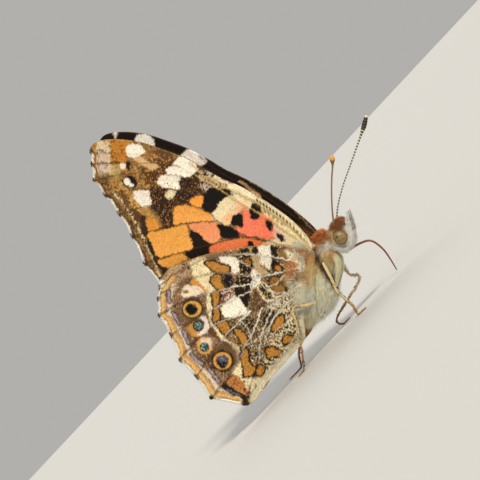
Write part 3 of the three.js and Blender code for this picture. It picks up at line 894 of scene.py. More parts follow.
def eye_material():
    """Khaki facets, each a shallow dome."""
    material, surface, start = new_material("eye_facets")
    where = start.node("ShaderNodeTexCoord", {}, {}, 3)
    cells = {"Vector": where, "Scale": FACETS_PER_MM / MM, "Randomness": 0.25}
    facets = start.node("ShaderNodeTexVoronoi", {}, cells)
    pigment = start.node("ShaderNodeAttribute", {"attribute_name": "pigment"}, {})
    feed(start, pigment.scaled_colour(1.12 - 0.5 * facets), surface, "Base Color")
    bump = {"Height": facets, "Strength": 0.4, "Distance": FACET_BUMP_MM * MM}
    dome = start.node("ShaderNodeBump", {"invert": True}, bump)
    feed(start, dome, surface, "Normal")
    surface.inputs["Roughness"].default_value = 0.42
    surface.inputs["Coat Weight"].default_value = 0.08
    return material


eye_facets = eye_material()
for word in SIDES:
    low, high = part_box(f"eye_{word}")
    centre = np.array((low + high) / 2) / MM
    reach = np.array((high - low) / 2) / MM
    ball, along, around = ball_mesh(40, 28)
    directions = vertices_of(ball)
    set_vertices(ball, (centre + directions * reach) * MM)
    recalculate_outside(ball)
    forward = centre[0] + directions[:, 0] * reach[0]
    height = centre[2] + directions[:, 2] * reach[2]
    across, down = to_picture(forward, height, -EYE_SIDEWAYS)
    painter = Painter(across, down, EYE_KHAKI, 0.4)
    off_middle = np.hypot((across - EYE_ACROSS) / EYE_REACH, (down - EYE_DOWN) / EYE_REACH)
    # painted shade: darker toward the eye's rim in the picture, where the ball turns away
    painter.lay(np.clip(off_middle - SHADED_RIM_START, 0, 1) * SHADED_RIM_STRENGTH, EYE_DARK)
    for dx, dy, size in FALSE_PUPILS:
        painter.spot(EYE_ACROSS + dx, EYE_DOWN + dy, size * 1.3, size * 0.8, EYE_DARK, 0, 1.0, 0.9)
    give_pigment(ball, painter.colour)
    finish_piece(ball, f"eye_{word}_ball", eye_facets, [f"eye_{word}"])

# %% [markdown]
# Ring of short scales round each eye
#
# A narrow collar of short scales frames the eye, white below and brown above, and closes the gap between
# the eye and the head's hair. It is made of the same spikes as the hair, set on the eye's own rim.

# %% Ring of short scales round each eye
EYE_RING_COUNT = 700
EYE_RING_WIDTH = 0.03
EYE_RING_BROWN = "#7a5330"
EYE_RING_CHART = (7, 0.9)

for word, side in SIDES.items():
    turn_by = random.uniform(0, 2 * math.pi, EYE_RING_COUNT)
    radial = np.column_stack([np.cos(turn_by), np.zeros(EYE_RING_COUNT), np.sin(turn_by)])
    roots = eye_centres[word] + radial * EYE_RADII * random.uniform(0.93, 1.04, EYE_RING_COUNT)[:, None]
    roots[:, 1] -= side * random.uniform(0.0, 0.25, EYE_RING_COUNT)
    jitter = random.normal(0, 0.2, roots.shape)
    upper = np.clip(radial @ camera_up * 2 + 0.2, 0, 1)[:, None]
    colours = linear(FACE_WHITE) * (1 - upper) + linear(EYE_RING_BROWN) * upper
    colours = colours * random.uniform(0.8, 1.15, EYE_RING_COUNT)[:, None]
    lengths = random.uniform(0.14, 0.24, EYE_RING_COUNT) * (1.5 - 0.5 * upper[:, 0])
    widths = np.full(EYE_RING_COUNT, EYE_RING_WIDTH)
    maps = np.column_stack([turn_by / EYE_RING_CHART[0], np.full(EYE_RING_COUNT, EYE_RING_CHART[1])])
    tufts(f"coat_eye_{word}", roots, radial * 0.6 + [0, side * 1.1, 0] + jitter, radial + jitter,
          lengths, widths, colours, maps)

# %% [markdown]
# Feelers
#
# A feeler is a thread of some forty rings that ends in a club. In the picture the near one is tan with
# an orange tip, and the far one is black with white bands and a pale tip. Each could be forty short
# tubes; one ball drawn out along a line, with the rings as a swell of its radius, is one closed piece,
# and the bands are read from its map.

# %% Feelers
ANTENNA_MARKS = {
    "right": [(334, 228, -0.45), (331.5, 214, -1.6), (329.8, 196, -3.7), (329.2, 180, -5.8),
              (329.4, 168, -7.4), (328.8, 162.5, -8.0), (328.3, 159, -8.3)],
    "left": [(336, 226, 0.45), (337.5, 207, 1.5), (342.5, 187, 2.8), (350, 166, 4.2),
             (360, 138, 5.7), (364, 126, 6.2), (366.6, 115, 6.6)],
}
ANTENNA_RADII = [0.15, 0.11, 0.1, 0.1, 0.13, 0.32, 0.22]
RING_COUNT = 38
BAND_FROM, BAND_TO = 0.55, 0.67
BAND_GRAINS_PER_MM = 14


def opaque(colour):
    return (*linear(colour), 1)


def banded_material(name, dark, light, bands, club, club_from, tip, tip_from):
    """Rings of two colours along a piece, then a club and a tip, read from its own map."""
    material, surface, start = new_material(name)
    chart = start.node("ShaderNodeUVMap", {"uv_map": "UVMap"}, {})
    along = 1.0 - start.node("ShaderNodeSeparateXYZ", {}, {0: chart}, 1)
    phase = along.maths("FRACT", along * bands)
    band = start.node("ShaderNodeMapRange", {}, {0: phase, 1: BAND_FROM, 2: BAND_TO})
    where = start.node("ShaderNodeTexCoord", {}, {}, 3)
    fineness = BAND_GRAINS_PER_MM / MM
    grain = start.node("ShaderNodeTexNoise", {}, {"Vector": where, "Scale": fineness, "Detail": 2.0})
    at_club = start.node("ShaderNodeMapRange", {}, {0: along, 1: club_from, 2: club_from + 0.02})
    at_tip = start.node("ShaderNodeMapRange", {}, {0: along, 1: tip_from, 2: tip_from + 0.015})
    bands_of = {0: band, 6: opaque(dark), 7: opaque(light)}
    ringed = start.node("ShaderNodeMix", {"data_type": "RGBA"}, bands_of, 2)
    colour = ringed.mixed(opaque(club), at_club).mixed(opaque(tip), at_tip)
    feed(start, colour.scaled_colour(0.75 + 0.5 * grain), surface, "Base Color")
    surface.inputs["Roughness"].default_value = 0.5
    return material


antenna_finishes = {
    "right": banded_material("antenna_tan", "#7d5b36", "#d0b384", RING_COUNT, "#5a3519", 0.925,
                             "#d99a48", 0.95),
    "left": banded_material("antenna_black", "#1c1713", "#c9c2b0", RING_COUNT, "#15110e", 0.87,
                            "#e0cfa4", 0.975),
}
for word, marks in ANTENNA_MARKS.items():
    limb(f"antenna_{word}_shaft", [place(*mark) for mark in marks], ANTENNA_RADII, antenna_finishes[word],
         [f"antenna_{word}"], 14, RING_COUNT * 6, swelling(RING_COUNT, 0.08), 0.012)
print("feelers of", RING_COUNT, "rings")

# %% [markdown]
# Palps
#
# The palps are two pointed brushes that stand up in front of the face, white with dark hairs on their
# front. Each is a slim core under two tufts: dense soft hair, and fewer, longer bristles. One tuft could
# do, but only two lengths of hair give the loose outline.

# %% Hair along a limb
def paired(marks, side):
    """Places of marks of the right side, mirrored for the left."""
    places = [place(across, down, -sideways) for across, down, sideways in marks]
    return [np.array([x, SHIFT_Y + side * abs(y - SHIFT_Y), z]) for x, y, z in places]


def limb_hair(name, path, radii, count, length, lift, width, colour_of, slot, stretch=(0.0, 1.0)):
    """Hair along a limb, pointing to its tip. colour_of gives a colour by share along and direction."""
    along = random.uniform(*stretch, count)
    turn_by = random.uniform(0, 2 * math.pi, count)
    read = guide(path, radii)
    centre, radius = read(along)[:, :3], read(along)[:, 3:]
    ahead, across, other = cross_directions(read, along)
    outward = across * np.cos(turn_by)[:, None] + other * np.sin(turn_by)[:, None]
    jitter = random.normal(0, 0.24, centre.shape)
    lengths = length * random.uniform(0.6, 1.1, count) * (1 - 0.5 * along**2)
    colours = colour_of(along, outward) * random.uniform(0.8, 1.2, count)[:, None]
    maps = around_and_along(turn_by / (2 * math.pi), along)
    return tufts(name, centre + outward * radius * 0.85, ahead + outward * lift + jitter,
                 ahead + jitter, lengths, width * random.uniform(0.7, 1.3, count), colours, maps)


# %% Palps
PALP_MARKS = [
    (343.5, 250, 0.42), (348.8, 243.5, 0.5), (349.3, 233, 0.5), (348, 222, 0.45), (346, 211.5, 0.4)]
PALP_RADII = [0.34, 0.42, 0.36, 0.15, 0.04]
PALP_CORE = "#f0ebe0"
PALP_HAIR = "#fbf8ef"
PALP_DARK = "#5a4f44"
DARK_SHARE = 0.55


def palp_colour(along, outward):
    front = outward @ (camera_right * 0.9 + camera_up * 0.4)
    dark = (front > 0.45) & (along > 0.5) & (random.random(len(along)) < DARK_SHARE)
    white = linear(PALP_HAIR) * random.uniform(0.45, 1, (len(along), 1))
    return np.where(dark[:, None], linear(PALP_DARK), white)


palp_white = scaled_material("palp_white", 9.0, 0.15, 0.02, 0.7, 0.1)
for word, side in SIDES.items():
    path = paired(PALP_MARKS, side)
    limb(f"palp_{word}_core", path, PALP_RADII, palp_white, [f"palp_{word}"], 12, 24, None, 0.05,
         one_colour(PALP_CORE))
    limb_hair(f"coat_palp_{word}", path, PALP_RADII, 4400, 0.62, 1.2, 0.026, palp_colour, "palp",
              (0.0, 0.97))
    limb_hair(f"bristles_palp_{word}", path, PALP_RADII, 420, 0.95, 1.5, 0.03, palp_colour, "palp",
              (0.1, 0.9))

# %% [markdown]
# Tufts of chin, crown and shoulders
#
# White hair fills the chin under the palps, brown hair stands on the crown between the feelers, and
# orange tufts stand on the shoulders. The skin slants there, so hair that grows by its directions lies
# flat. It grows instead round a short line over each place, as if the line were a limb.

# %% Tufts of chin, crown and shoulders
CHIN_MARKS = [(334, 244.5, 0.5), (341, 247.5, 0.55), (348, 249.5, 0.5)]
CHIN_RADII = [0.35, 0.45, 0.35]
CHIN_WHITE = "#fbf6e9"
CROWN_MARKS = [(344.5, 223, 0.25), (338, 223, 0.45), (331.5, 228, 0.5)]
CROWN_RADII = [0.25, 0.42, 0.4]
SHOULDER_MARKS = [(324, 236.5, 0.3), (319, 236.5, 0.6), (313.5, 240, 0.75)]
SHOULDER_RADII = [0.25, 0.35, 0.3]


def chin_colour(along, outward):
    return linear(CHIN_WHITE) * random.uniform(0.65, 1, (len(along), 1))


def mottled(dark, light):
    """Each hair of a tuft somewhere between two colours."""
    step = linear(light) - linear(dark)
    return lambda along, outward: linear(dark) + step * random.random((len(along), 1))


SMALL_TUFTS = {
    "chin": (CHIN_MARKS, CHIN_RADII, 1700, 0.6, 1.4, 0.028, chin_colour),
    "crown": (CROWN_MARKS, CROWN_RADII, 1500, 0.6, 1.5, 0.028, mottled("#6b4426", "#a8683a")),
    "shoulder": (SHOULDER_MARKS, SHOULDER_RADII, 1500, 0.75, 1.5, 0.03, mottled("#8a4a24", "#cf7a3a")),
}
for word, side in SIDES.items():
    for region, (marks, *growth) in SMALL_TUFTS.items():
        limb_hair(f"coat_{region}_{word}", paired(marks, side), *growth, "hair")

# %% [markdown]
# Tongue
#
# The tongue is two half tubes joined to one, ribbed and reddish brown. It could be two pieces with a
# seam, but at this size the seam doesn't show, so it is one tube, drawn out of a ball, with fine ribs.

# %% Tongue
TONGUE_MARKS = [(348, 250, 0), (361, 242.5, 0), (371, 241, 0), (382, 249, 0), (390, 260, 0), (396, 270, 0)]
TONGUE_RADII = [0.16, 0.15, 0.13, 0.12, 0.1, 0.06]
RIB_COUNT = 90

tongue_ribs = banded_material("tongue_ribs", "#5a2c18", "#8a4a2a", RIB_COUNT, "#5a2c18", 0.9,
                              "#3a1c10", 0.97)
limb("proboscis_tube", [place(*mark) for mark in TONGUE_MARKS], TONGUE_RADII, tongue_ribs,
     ["proboscis"], 14, 180, swelling(RIB_COUNT, 0.05), 0.02)
print("tongue with", RIB_COUNT, "ribs")

# %% [markdown]
# Legs
#
# A butterfly's leg has a stout thigh, a spiny shin, and a foot of five short links. The scales on it are
# straw-coloured. Each leg could be a row of tubes; it is one ball drawn out along the solid's own line,
# thinner, with a knee and swollen ends of the links, so it has no gaps. It gets a coat of short scales
# and dark spines. The two forelegs are folded against the breast and have long hair and no spines.

# %% Legs
LEG_UPPERS = {
    "mid": [(322, 262, 2.5), (331, 279, 3.1), (336, 290.5, 3.6), (344, 298, 4.1)],
    "hind": [(315, 303, 2.4), (306, 305, 3.6), (293, 308, 4.25), (297, 326, 4.35)],
}
FEET = {
    "mid_right": [(351.5, 305, -4.5), (356.5, 313, -4.8), (364, 305.5, -5.2)],
    "mid_left": [(339, 319, 4.4), (346, 325.5, 4.6), (353, 318, 5.0)],
    "hind_right": [(301, 347, -4.4), (303, 370, -4.7), (297.5, 377, -5.0)],
    "hind_left": [(301, 352, 4.5), (302, 371, 4.7), (291, 385, 5.0)],
}
LEG_RADII = [0.17, 0.19, 0.15, 0.13, 0.12, 0.09, 0.07]
FOOT_HEIGHT = 0.14
KNEE_AT, KNEE_REACH, KNEE_SWELL = 0.34, 0.03, 0.18
ANKLE_AT, ANKLE_REACH, ANKLE_SWELL = 0.7, 0.02, 0.15
FOOT_FROM, FOOT_LINK, LINK_SWELL = 0.72, 0.06, 0.12
DARK_LEG_SCALES = 0.12

leg_scales = scaled_material("leg_scales", 9.0, 0.2, 0.02, 0.55, 0.05)
leg_core_colour = fading("#c9b183", "#96622a", 0.5, 0.25)
leg_straw = fading("#dfcaa0", "#b07c3c", 0.55, 0.2)


def leg_links(share):
    """Knee, ankle and the links of the foot, as swellings along the leg."""
    swell = 1 + KNEE_SWELL * np.exp(-((share - KNEE_AT) / KNEE_REACH) ** 2)
    swell = swell + ANKLE_SWELL * np.exp(-((share - ANKLE_AT) / ANKLE_REACH) ** 2)
    links = LINK_SWELL * np.cos((share - FOOT_FROM) * 2 * math.pi / FOOT_LINK)
    return swell + np.where(share > FOOT_FROM, links, 0)


def leg_colour(along, outward):
    dark = (along > 0.3) & (random.random(len(along)) < DARK_LEG_SCALES)
    return np.where(dark[:, None], linear("#3b2a1a"), leg_straw(along))


for name, foot in FEET.items():
    pair, word = name.split("_")
    path = paired(LEG_UPPERS[pair], SIDES[word]) + [place(*mark) for mark in foot]
    for spot_on_floor in path[-2:]:
        spot_on_floor[2] = FOOT_HEIGHT
    limb(f"leg_{name}_core", path, LEG_RADII, leg_scales, [f"leg_{name}"], 14, 110, leg_links, 0.02,
         leg_core_colour)
    limb_hair(f"coat_leg_{name}", path, LEG_RADII, 1300, 0.2, 0.4, 0.026, leg_colour, "leg", (0.02, 0.9))
    limb_hair(f"spines_leg_{name}", path, LEG_RADII, 200, 0.42, 1.1, 0.06, one_colour("#2c1f14"), "leg",
              (0.12, 0.96))

# %% Folded forelegs
FORE_LEG_MARKS = [(331, 253, 0.5), (336.5, 260, 0.75), (338, 270, 0.85), (337, 279, 0.8), (336, 287, 0.7)]
FORE_LEG_RADII = [0.18, 0.2, 0.18, 0.14, 0.06]

for word, side in SIDES.items():
    path = paired(FORE_LEG_MARKS, side)
    limb(f"leg_fore_{word}_core", path, FORE_LEG_RADII, leg_scales, [f"leg_fore_{word}"], 12, 40,
         None, 0.04, one_colour("#cfc5ac"))
    limb_hair(f"coat_leg_fore_{word}", path, FORE_LEG_RADII, 2400, 0.6, 1.0, 0.028,
              one_colour("#e9dcb9"), "leg", (0.0, 0.95))

# %% [markdown]
# Wings
#
# Each wing is a membrane stretched over veins. A fine grid is laid over the wing's side view, cut along
# its margin, and moved out to where the solid wing stands, with a ridge along every vein and a slight
# sag between them. Solidify then gives it its thickness. The margins and veins are the marks that the
# solids were built from; the outer margin stops short by the length of the fringe.

# %% Wing landmarks
FOREWING_ROOT = (314, 249)
FOREWING_COSTA = [
    (313, 246), (307, 236), (295, 224), (280, 212), (260, 198.5), (240, 187), (220, 178), (200, 166.5),
    (180, 156), (160, 148.5), (140, 142), (120, 139), (103, 139.5), (93, 143)]
FOREWING_VEIN_ENDS = [
    (88, 151), (88.5, 163), (90.5, 180), (102, 195.5), (116, 214.5), (129, 237), (141, 264.5), (165, 298)]
FOREWING_DORSUM = [(190, 291), (220, 283), (250, 274), (280, 265), (300, 259), (308, 256)]
FOREWING_VEINS = [
    [(311, 246), (295, 231), (275, 216), (250, 199), (225, 187), (205, 175.5), (190, 161.2)],
    [(311, 247.5), (290, 234), (270, 220.5), (250, 208), (228, 195), (210, 183), (196, 175), (180, 166),
     (160, 158), (140, 153), (115, 151.5), (88, 151)],
    [(180, 166), (150, 162.5), (120, 161.5), (88.5, 163)],
    [(210, 183), (190, 178.5), (165, 173.5), (140, 172), (112, 174.5), (90.5, 180)],
    [(206, 193), (180, 189.5), (150, 188), (122, 190), (102, 195.5)],
    [(210, 183), (206, 193), (205, 203), (211, 213)],
    [(211, 213), (190, 205.5), (165, 203), (138, 207), (116, 214.5)],
    [(309, 251), (285, 245), (268, 241), (250, 237), (234, 229.5), (218, 221), (211, 213)],
    [(218, 221), (195, 222), (165, 226.5), (129, 237)],
    [(250, 237), (230, 239.5), (200, 247.5), (170, 255.5), (141, 264.5)],
    [(307, 253), (280, 256), (250, 262), (220, 271.5), (190, 283), (165, 298)]]
HINDWING_COSTA = [
    (301, 256), (292, 248.5), (270, 245.5), (250, 246.5), (230, 250.5), (212, 253), (195, 258), (180, 264),
    (169, 268.5), (162, 277)]
HINDWING_VEIN_ENDS = [
    (156.5, 288), (154.5, 299), (155.5, 317), (168, 337.5), (177, 363.5), (194, 380.5), (209, 403),
    (245, 410)]
HINDWING_INNER = [
    (255, 403), (266, 386), (280, 370), (292, 356), (302, 344), (304.5, 334), (303, 315), (302, 295)]
HINDWING_VEINS = [
    [(301, 263), (285, 259), (262, 255.5), (240, 255), (212, 256.5), (190, 265), (170, 277), (156.5, 288)],
    [(301, 268), (287, 270), (272, 274.5), (255, 277), (240, 274.5), (215, 273.5), (190, 279), (170, 288),
     (154.5, 299)],
    [(255, 277), (251, 284), (251, 297), (252, 311)],
    [(251, 284), (230, 288), (206, 294), (180, 303), (155.5, 317)],
    [(251, 291), (232, 300.5), (209, 311.5), (188, 324), (168, 337.5)],
    [(252, 311), (237, 316.5), (214, 325.5), (197, 340), (177, 363.5)],
    [(252, 311), (240, 321.5), (226, 336), (211, 356), (194, 380.5)],
    [(301, 284), (281, 296), (268, 304), (252, 311)],
    [(262, 307.5), (256, 325), (246, 346), (230, 377), (209, 403)],
    [(301, 292), (283, 306), (272, 321), (260, 345), (257, 368), (250, 388), (245, 410)]]
WING_OFFSETS = {"forewing": 1.85, "hindwing": 2.9}
FRINGE_LENGTH = 0.3
WING_STEP = 0.1
WING_THICKNESS = 0.16
VEIN_RIDGE = 0.06
VEIN_WIDTH = 0.13
PLEAT_SAG = 0.07
SCALE_GRAIN = 0.24
PLEAT_REACH = 0.9
ROOT_STANDOFF, ROOT_FLARE, ROOT_REACH, LEAN_OUT = 1.55, 0.6, 3.0, 0.016
HINDWING_OUTSIDE, FOLD_INWARD, FOLD_REACH = 1.06, 0.75, 1.3


# %% Shape of the wings
def flat(marks, offset):
    """Marks of a wing laid flat: forward and up, in millimetres."""
    return np.array([place(across, down, -offset)[[0, 2]] for across, down in marks])


FOREWING_HUB = flat([FOREWING_ROOT], WING_OFFSETS["forewing"])[0]
HINDWING_FOLD = flat(HINDWING_INNER[:5], WING_OFFSETS["hindwing"])


def standoff(kind, points):
    """How far a wing stands off the middle plane, as in the solids."""
    reach = np.hypot(*(points - FOREWING_HUB).T)
    away = ROOT_STANDOFF + ROOT_FLARE * np.exp(-(reach / ROOT_REACH) ** 2) + LEAN_OUT * reach
    if kind == "hindwing":
        fold = line_distance(points, HINDWING_FOLD)[0]
        away = away + HINDWING_OUTSIDE - FOLD_INWARD * np.exp(-(fold / FOLD_REACH) ** 2)
    return away


def scalloped(ends, depth, inset):
    """A line through the vein ends that bends inward between each two."""
    bays = []
    for start, end in zip(ends[:-1], ends[1:]):
        share = np.linspace(0, 1, 15)[:, None]
        inward = np.array([start[1] - end[1], end[0] - start[0]])
        inward = inward / np.hypot(*inward)
        bays.append(start + (end - start) * share + inward * (depth * np.sin(share * math.pi) + inset))
    return np.vstack(bays)


def margin_of(costa, ends, back, offset, scallop, inset):
    """The wing's closed outline, and the stretch of it that carries the fringe."""
    front = smooth_line(flat(list(costa) + [ends[0]], offset))
    ends = flat(ends, offset)
    edge = scalloped(ends, scallop, inset)
    rest = smooth_line(np.vstack([ends[-1:], flat(list(back) + [costa[0]], offset)]))
    return np.vstack([front[:-1], edge, rest[1:-1]]), edge


# %% [markdown]
# Markings of the forewing's underside
#
# The underside shows when the wings are closed: an ochre and cream tip with two small eyespots, white
# spots on dark brown, then orange shading into rose with black blotches, and a cream front edge with
# fine black bars. They are laid on from the ground colour up, as the patches overlap.


# %% Brown ground of the forewing
FOREWING_GROUND = [
    ("speckle", None, "#4a341f", 1.4, 0.44, 5, 0.8),
    ("speckle", None, "#c09a5c", 1.2, 0.22, 12, 0.7),
    ("patch", [(140, 157), (205, 166), (232, 186), (226, 215), (172, 206), (174, 227), (146, 232),
     (146, 214), (152, 203), (150, 188), (142, 178), (140, 165)], "#4c331d", 3, 0.85),
    ("patch", [(152, 186), (182, 186), (206, 190), (204, 208), (174, 205), (173, 226), (162, 228),
     (158, 220), (150, 208)], "#2e1f14", 2),
    ("patch", [(154, 150), (172, 152), (172, 164), (165, 172), (156, 184), (150, 172), (160, 165)],
     "#4a2d1a", 3, 0.8),
    ("speckle", [(136, 157), (170, 157), (160, 188), (136, 188)], "#c08a4c", 1.0, 0.34),
]

# %% Tip of the forewing
FOREWING_TIP = [
    ("patch", [(88, 143), (100, 138), (130, 138), (128, 150), (124, 163), (113, 172), (116, 195),
     (100, 196), (86, 176)], "#a87a3c", 3, 0.85),
    ("patch", [(109, 141), (128, 141), (127, 150), (124, 162), (112, 163), (110, 150)], "#b3752c", 1.5),
    ("patch", [(97, 141), (108, 141), (111, 150), (110, 160), (114, 168), (107, 177), (98, 172),
     (96, 155)], "#cbb696", 2),
    ("patch", [(98, 152), (104, 150), (107, 160), (104, 172), (98, 172)], "#c3a79b", 3, 0.7),
    ("patch", [(112, 164), (121, 163), (120, 172), (116, 178), (111, 174)], "#b39a62", 3, 0.8),
    ("patch", [(104, 172), (114, 176), (116, 186), (110, 190), (102, 184), (97, 177)], "#5e4228", 3,
     0.75),
    ("speckle", [(90, 140), (115, 140), (115, 178), (90, 178)], "#7d6038", 1.5, 0.3),
    ("speckle", [(109, 141), (128, 141), (124, 163), (111, 163)], "#7c4516", 1.4, 0.3),
]

# %% Bands along the forewing's outer margin
FOREWING_BANDS = [
    ("line", [(112, 182), (124, 192), (137, 206), (150, 216), (157, 228)], 11, "#a87d40", 4, 0.8),
    ("line", [(107, 188), (117, 198), (126, 212), (133, 226), (138, 240), (146, 256), (154, 272),
     (160, 286)], 8, "#8f6d3e", 3),
    ("line", [(113, 192), (122, 203), (131, 215), (138, 228), (143, 240), (150, 254), (157, 270),
     (162, 282)], 2.2, "#d6c296", 1.5, 0.9),
    ("line", [(110, 196), (120, 208), (128, 220), (134, 234), (140, 250), (148, 268)], 1.6, "#4e3720",
     1.4, 0.8),
    ("line", [(117, 190), (128, 203), (137, 216), (143, 230), (147, 243)], 1.6, "#5a3e24", 1.4, 0.8),
    ("speckle", [(96, 176), (112, 180), (128, 196), (150, 222), (168, 290), (150, 290), (120, 225)],
     "#4a3420", 1.3, 0.4, 8),
    ("speckle", [(112, 176), (128, 186), (152, 214), (156, 230), (140, 216), (118, 196)], "#c79c58", 1.2,
     0.36, 15),
    ("line", [(122, 193), (127, 206)], 5, "#64432a", 2),
    ("line", [(134, 211), (141, 219)], 5, "#59391f", 2),
    ("line", [(143, 218), (144.5, 233)], 6.5, "#33231a", 2),
    ("line", [(148, 242), (152, 250), (158, 262), (164, 271), (170, 284)], 7, "#2b1c13", 2),
    ("line", [(138, 247), (143, 257), (149, 268)], 4, "#6b4a35", 2.5, 0.7),
]

# %% White spots and small eyespots of the forewing
FOREWING_WHITE_SPOTS = [
    ("patch", [(134, 155), (142, 157), (150, 162), (160, 166), (152, 169), (142, 165), (136, 161)],
     "#cda878", 2),
    ("patch", [(127, 147), (130, 143.5), (138, 143.5), (143, 147), (145, 151), (140, 155), (134, 156.5),
     (127, 155), (126, 152)], "#e6dccd"),
    ("spot", 124, 165.5, 5.6, 5.2, "#b07a3e"),
    ("spot", 128, 165.2, 2.4, 4.2, "#2c1a10"),
    ("spot", 122.7, 165.3, 3.1, 3.3, "#e4dacb", 0, 1.1, 1.0, True),
    ("patch", [(123, 177), (129, 174.8), (134, 176), (137.3, 181), (136.5, 185.5), (133, 187), (128, 187),
     (123, 184), (121.5, 180)], "#20140d"),
    ("spot", 126.8, 181, 3.2, 3.9, "#e6dccf", -30, 1.1, 1.0, True),
    ("spot", 131.2, 184.3, 2.2, 1.7, "#e6dccf", 20),
    ("patch", [(134, 190.5), (140, 189.5), (149, 190), (150, 196), (151.5, 203), (148, 206), (142, 206.5),
     (138, 202), (134, 199), (133, 195)], "#e2d8ca"),
    ("patch", [(158, 179), (160, 175), (167, 173), (166, 170), (172, 165), (178, 158), (184, 157.5),
     (192, 161), (197, 166), (199, 171), (192, 175), (184, 178), (181, 182), (179.5, 188.5), (170, 188.5),
     (163, 186), (158, 183)], "#e8decd"),
    ("patch", [(166, 192), (170, 190), (176, 190.5), (173, 197), (170, 199), (166, 198), (164, 196)],
     "#e0d0a6", 1.5),
]

# %% Dark and mottled parts beyond the cell
FOREWING_DARK_PARTS = [
    ("patch", [(180, 178), (190, 176.5), (197, 172), (202, 172), (200, 180), (195, 187), (186, 189),
     (180, 188)], "#2d1d13", 2),
    ("speckle", [(150, 188), (206, 176), (206, 204), (176, 206), (172, 228), (154, 214)], "#9c6c42", 0.95,
     0.26),
    ("patch", [(200, 171), (212, 173), (226, 184), (226, 190), (213, 188), (203, 191), (200, 180)],
     "#b9a28c", 2),
    ("speckle", [(198, 171), (212, 172), (228, 186), (212, 190), (200, 191)], "#33241a", 1.4, 0.5),
    ("patch", [(190, 199), (196, 196), (202, 195), (203, 200), (201, 207), (195, 206), (190, 203)],
     "#e8963f", 1.5),
]

# %% Orange fields between the lower veins
FOREWING_ORANGE_FIELDS = [
    ("patch", [(177, 205), (187, 204.5), (200, 208.5), (207, 211), (211, 215), (213, 220), (200, 221),
     (185, 223), (174, 224), (173, 215)], "#e29b4c"),
    ("patch", [(147, 233), (165, 229), (184, 225), (187, 228), (189, 235), (192, 242), (193, 247),
     (186, 250.5), (158, 257), (154, 252), (152, 246), (148, 240)], "#de9b49"),
    ("patch", [(158, 259), (180, 253.5), (184, 255), (186, 258), (184, 261), (169, 267), (162, 266)],
     "#da9946"),
    ("patch", [(146, 219), (152, 219), (160, 227), (157, 230), (148, 231)], "#c98535", 2),
    ("patch", [(190, 224), (205, 221.5), (217, 221.5), (218, 226), (220, 238), (212, 243), (205, 240),
     (197, 233), (191, 229)], "#e49062"),
    ("patch", [(190, 230), (199, 234), (205, 241), (212, 245), (212, 253), (203, 256), (190, 259),
     (185, 253), (193, 248), (191, 238)], "#1b130e"),
    ("patch", [(211, 245), (230, 240), (247, 238.5), (254, 241), (250, 249), (232, 253), (213, 254)],
     "#e47d4e"),
    ("patch", [(236, 229), (243, 215), (243, 208), (240, 203), (246, 203), (252, 208), (254, 213),
     (266, 214), (272, 219), (274, 225), (276, 235), (270, 240), (262, 238), (250, 236.5), (243, 235)],
     "#e7775a", 1.5),
    ("patch", [(246, 239), (262, 242), (268, 244), (258, 248), (246, 249)], "#e2763f", 1.5),
]

# %% The cell: cream with an orange shade, a black bar at its end
FOREWING_CELL = [
    ("patch", [(212, 214), (217, 207), (222, 200), (230, 196), (240, 195), (249, 198), (252, 205),
     (250, 211), (244, 207), (240, 211), (236, 216), (234, 222), (228, 225), (219, 223), (213, 218)],
     "#dfcda6", 1.5),
    ("spot", 229, 219, 7, 4.5, "#e8a067", -20, 6, 0.8),
    ("spot", 240, 208, 7, 5, "#e69a72", -40, 7, 0.7),
    ("patch", [(207, 190), (214, 188), (226, 189), (233, 187), (232, 194), (224, 198), (219, 203),
     (215, 209), (212, 214), (208, 213), (202, 207), (204, 198)], "#16110d"),
]

# %% Front edge of the forewing
FOREWING_FRONT_EDGE = [
    ("patch", [(228, 184), (240, 185), (256, 196), (264, 203), (258, 207), (247, 200), (235, 195),
     (230, 191)], "#e0d4b4", 1.5),
    ("patch", [(254, 198), (262, 199), (280, 210), (300, 226), (316, 246), (305, 254), (286, 250),
     (262, 245), (272, 240), (277, 234), (274, 222), (262, 212), (255, 206)], "#d9c79f", 1.5),
    ("patch", [(274, 222), (283, 230), (286, 238), (280, 240), (274, 236)], "#d8b9a0", 3, 0.8),
    ("line", [(215, 178), (245, 192), (275, 212), (300, 234), (310, 246)], 2.5, "#e3d7b8", 1.5, 0.8),
]

# %% Black blotches of the forewing
FOREWING_BLOTCHES = [
    ("patch", [(233, 216), (240, 214.5), (243, 218), (243, 225), (240, 227), (232, 226), (231, 221)],
     "#14100d"),
    ("patch", [(218, 225), (226, 225), (235, 230), (239, 235), (238, 237.5), (222, 238.5), (219, 232)],
     "#14100d"),
    ("patch", [(252, 205), (257, 203.5), (260, 208), (259, 215), (256, 219.5), (250, 220), (249, 214)],
     "#14100d"),
    ("spot", 269, 226, 2.9, 6.2, "#171210", -24),
    ("spot", 280.5, 237.3, 2.4, 5.6, "#221a14", -48),
    ("patch", [(248, 241), (252, 243), (253, 247), (247, 248)], "#191310"),
    ("line", [(250, 199), (275, 216.5), (295, 231.5), (311, 247)], 1.2, "#54401f", 0.9, 0.8),
    ("line", [(245, 190), (275, 208.5), (297, 226), (309, 240)], 0.9, "#54401f", 0.9, 0.6),
]

# %% Margin lines and flecks of the forewing
FOREWING_MARGIN_LINES = [
    (4.6, 0.7, 1.0, 0.75, "#3a2817"), (8.4, 0.5, 1.0, 0.5, "#4a341d"), (0, 3.2, 1.2, 0.9, "#e4dcc6")]
FLECK_ROW = [(257, 200), (273, 210.5), (290, 224), (308, 242)]

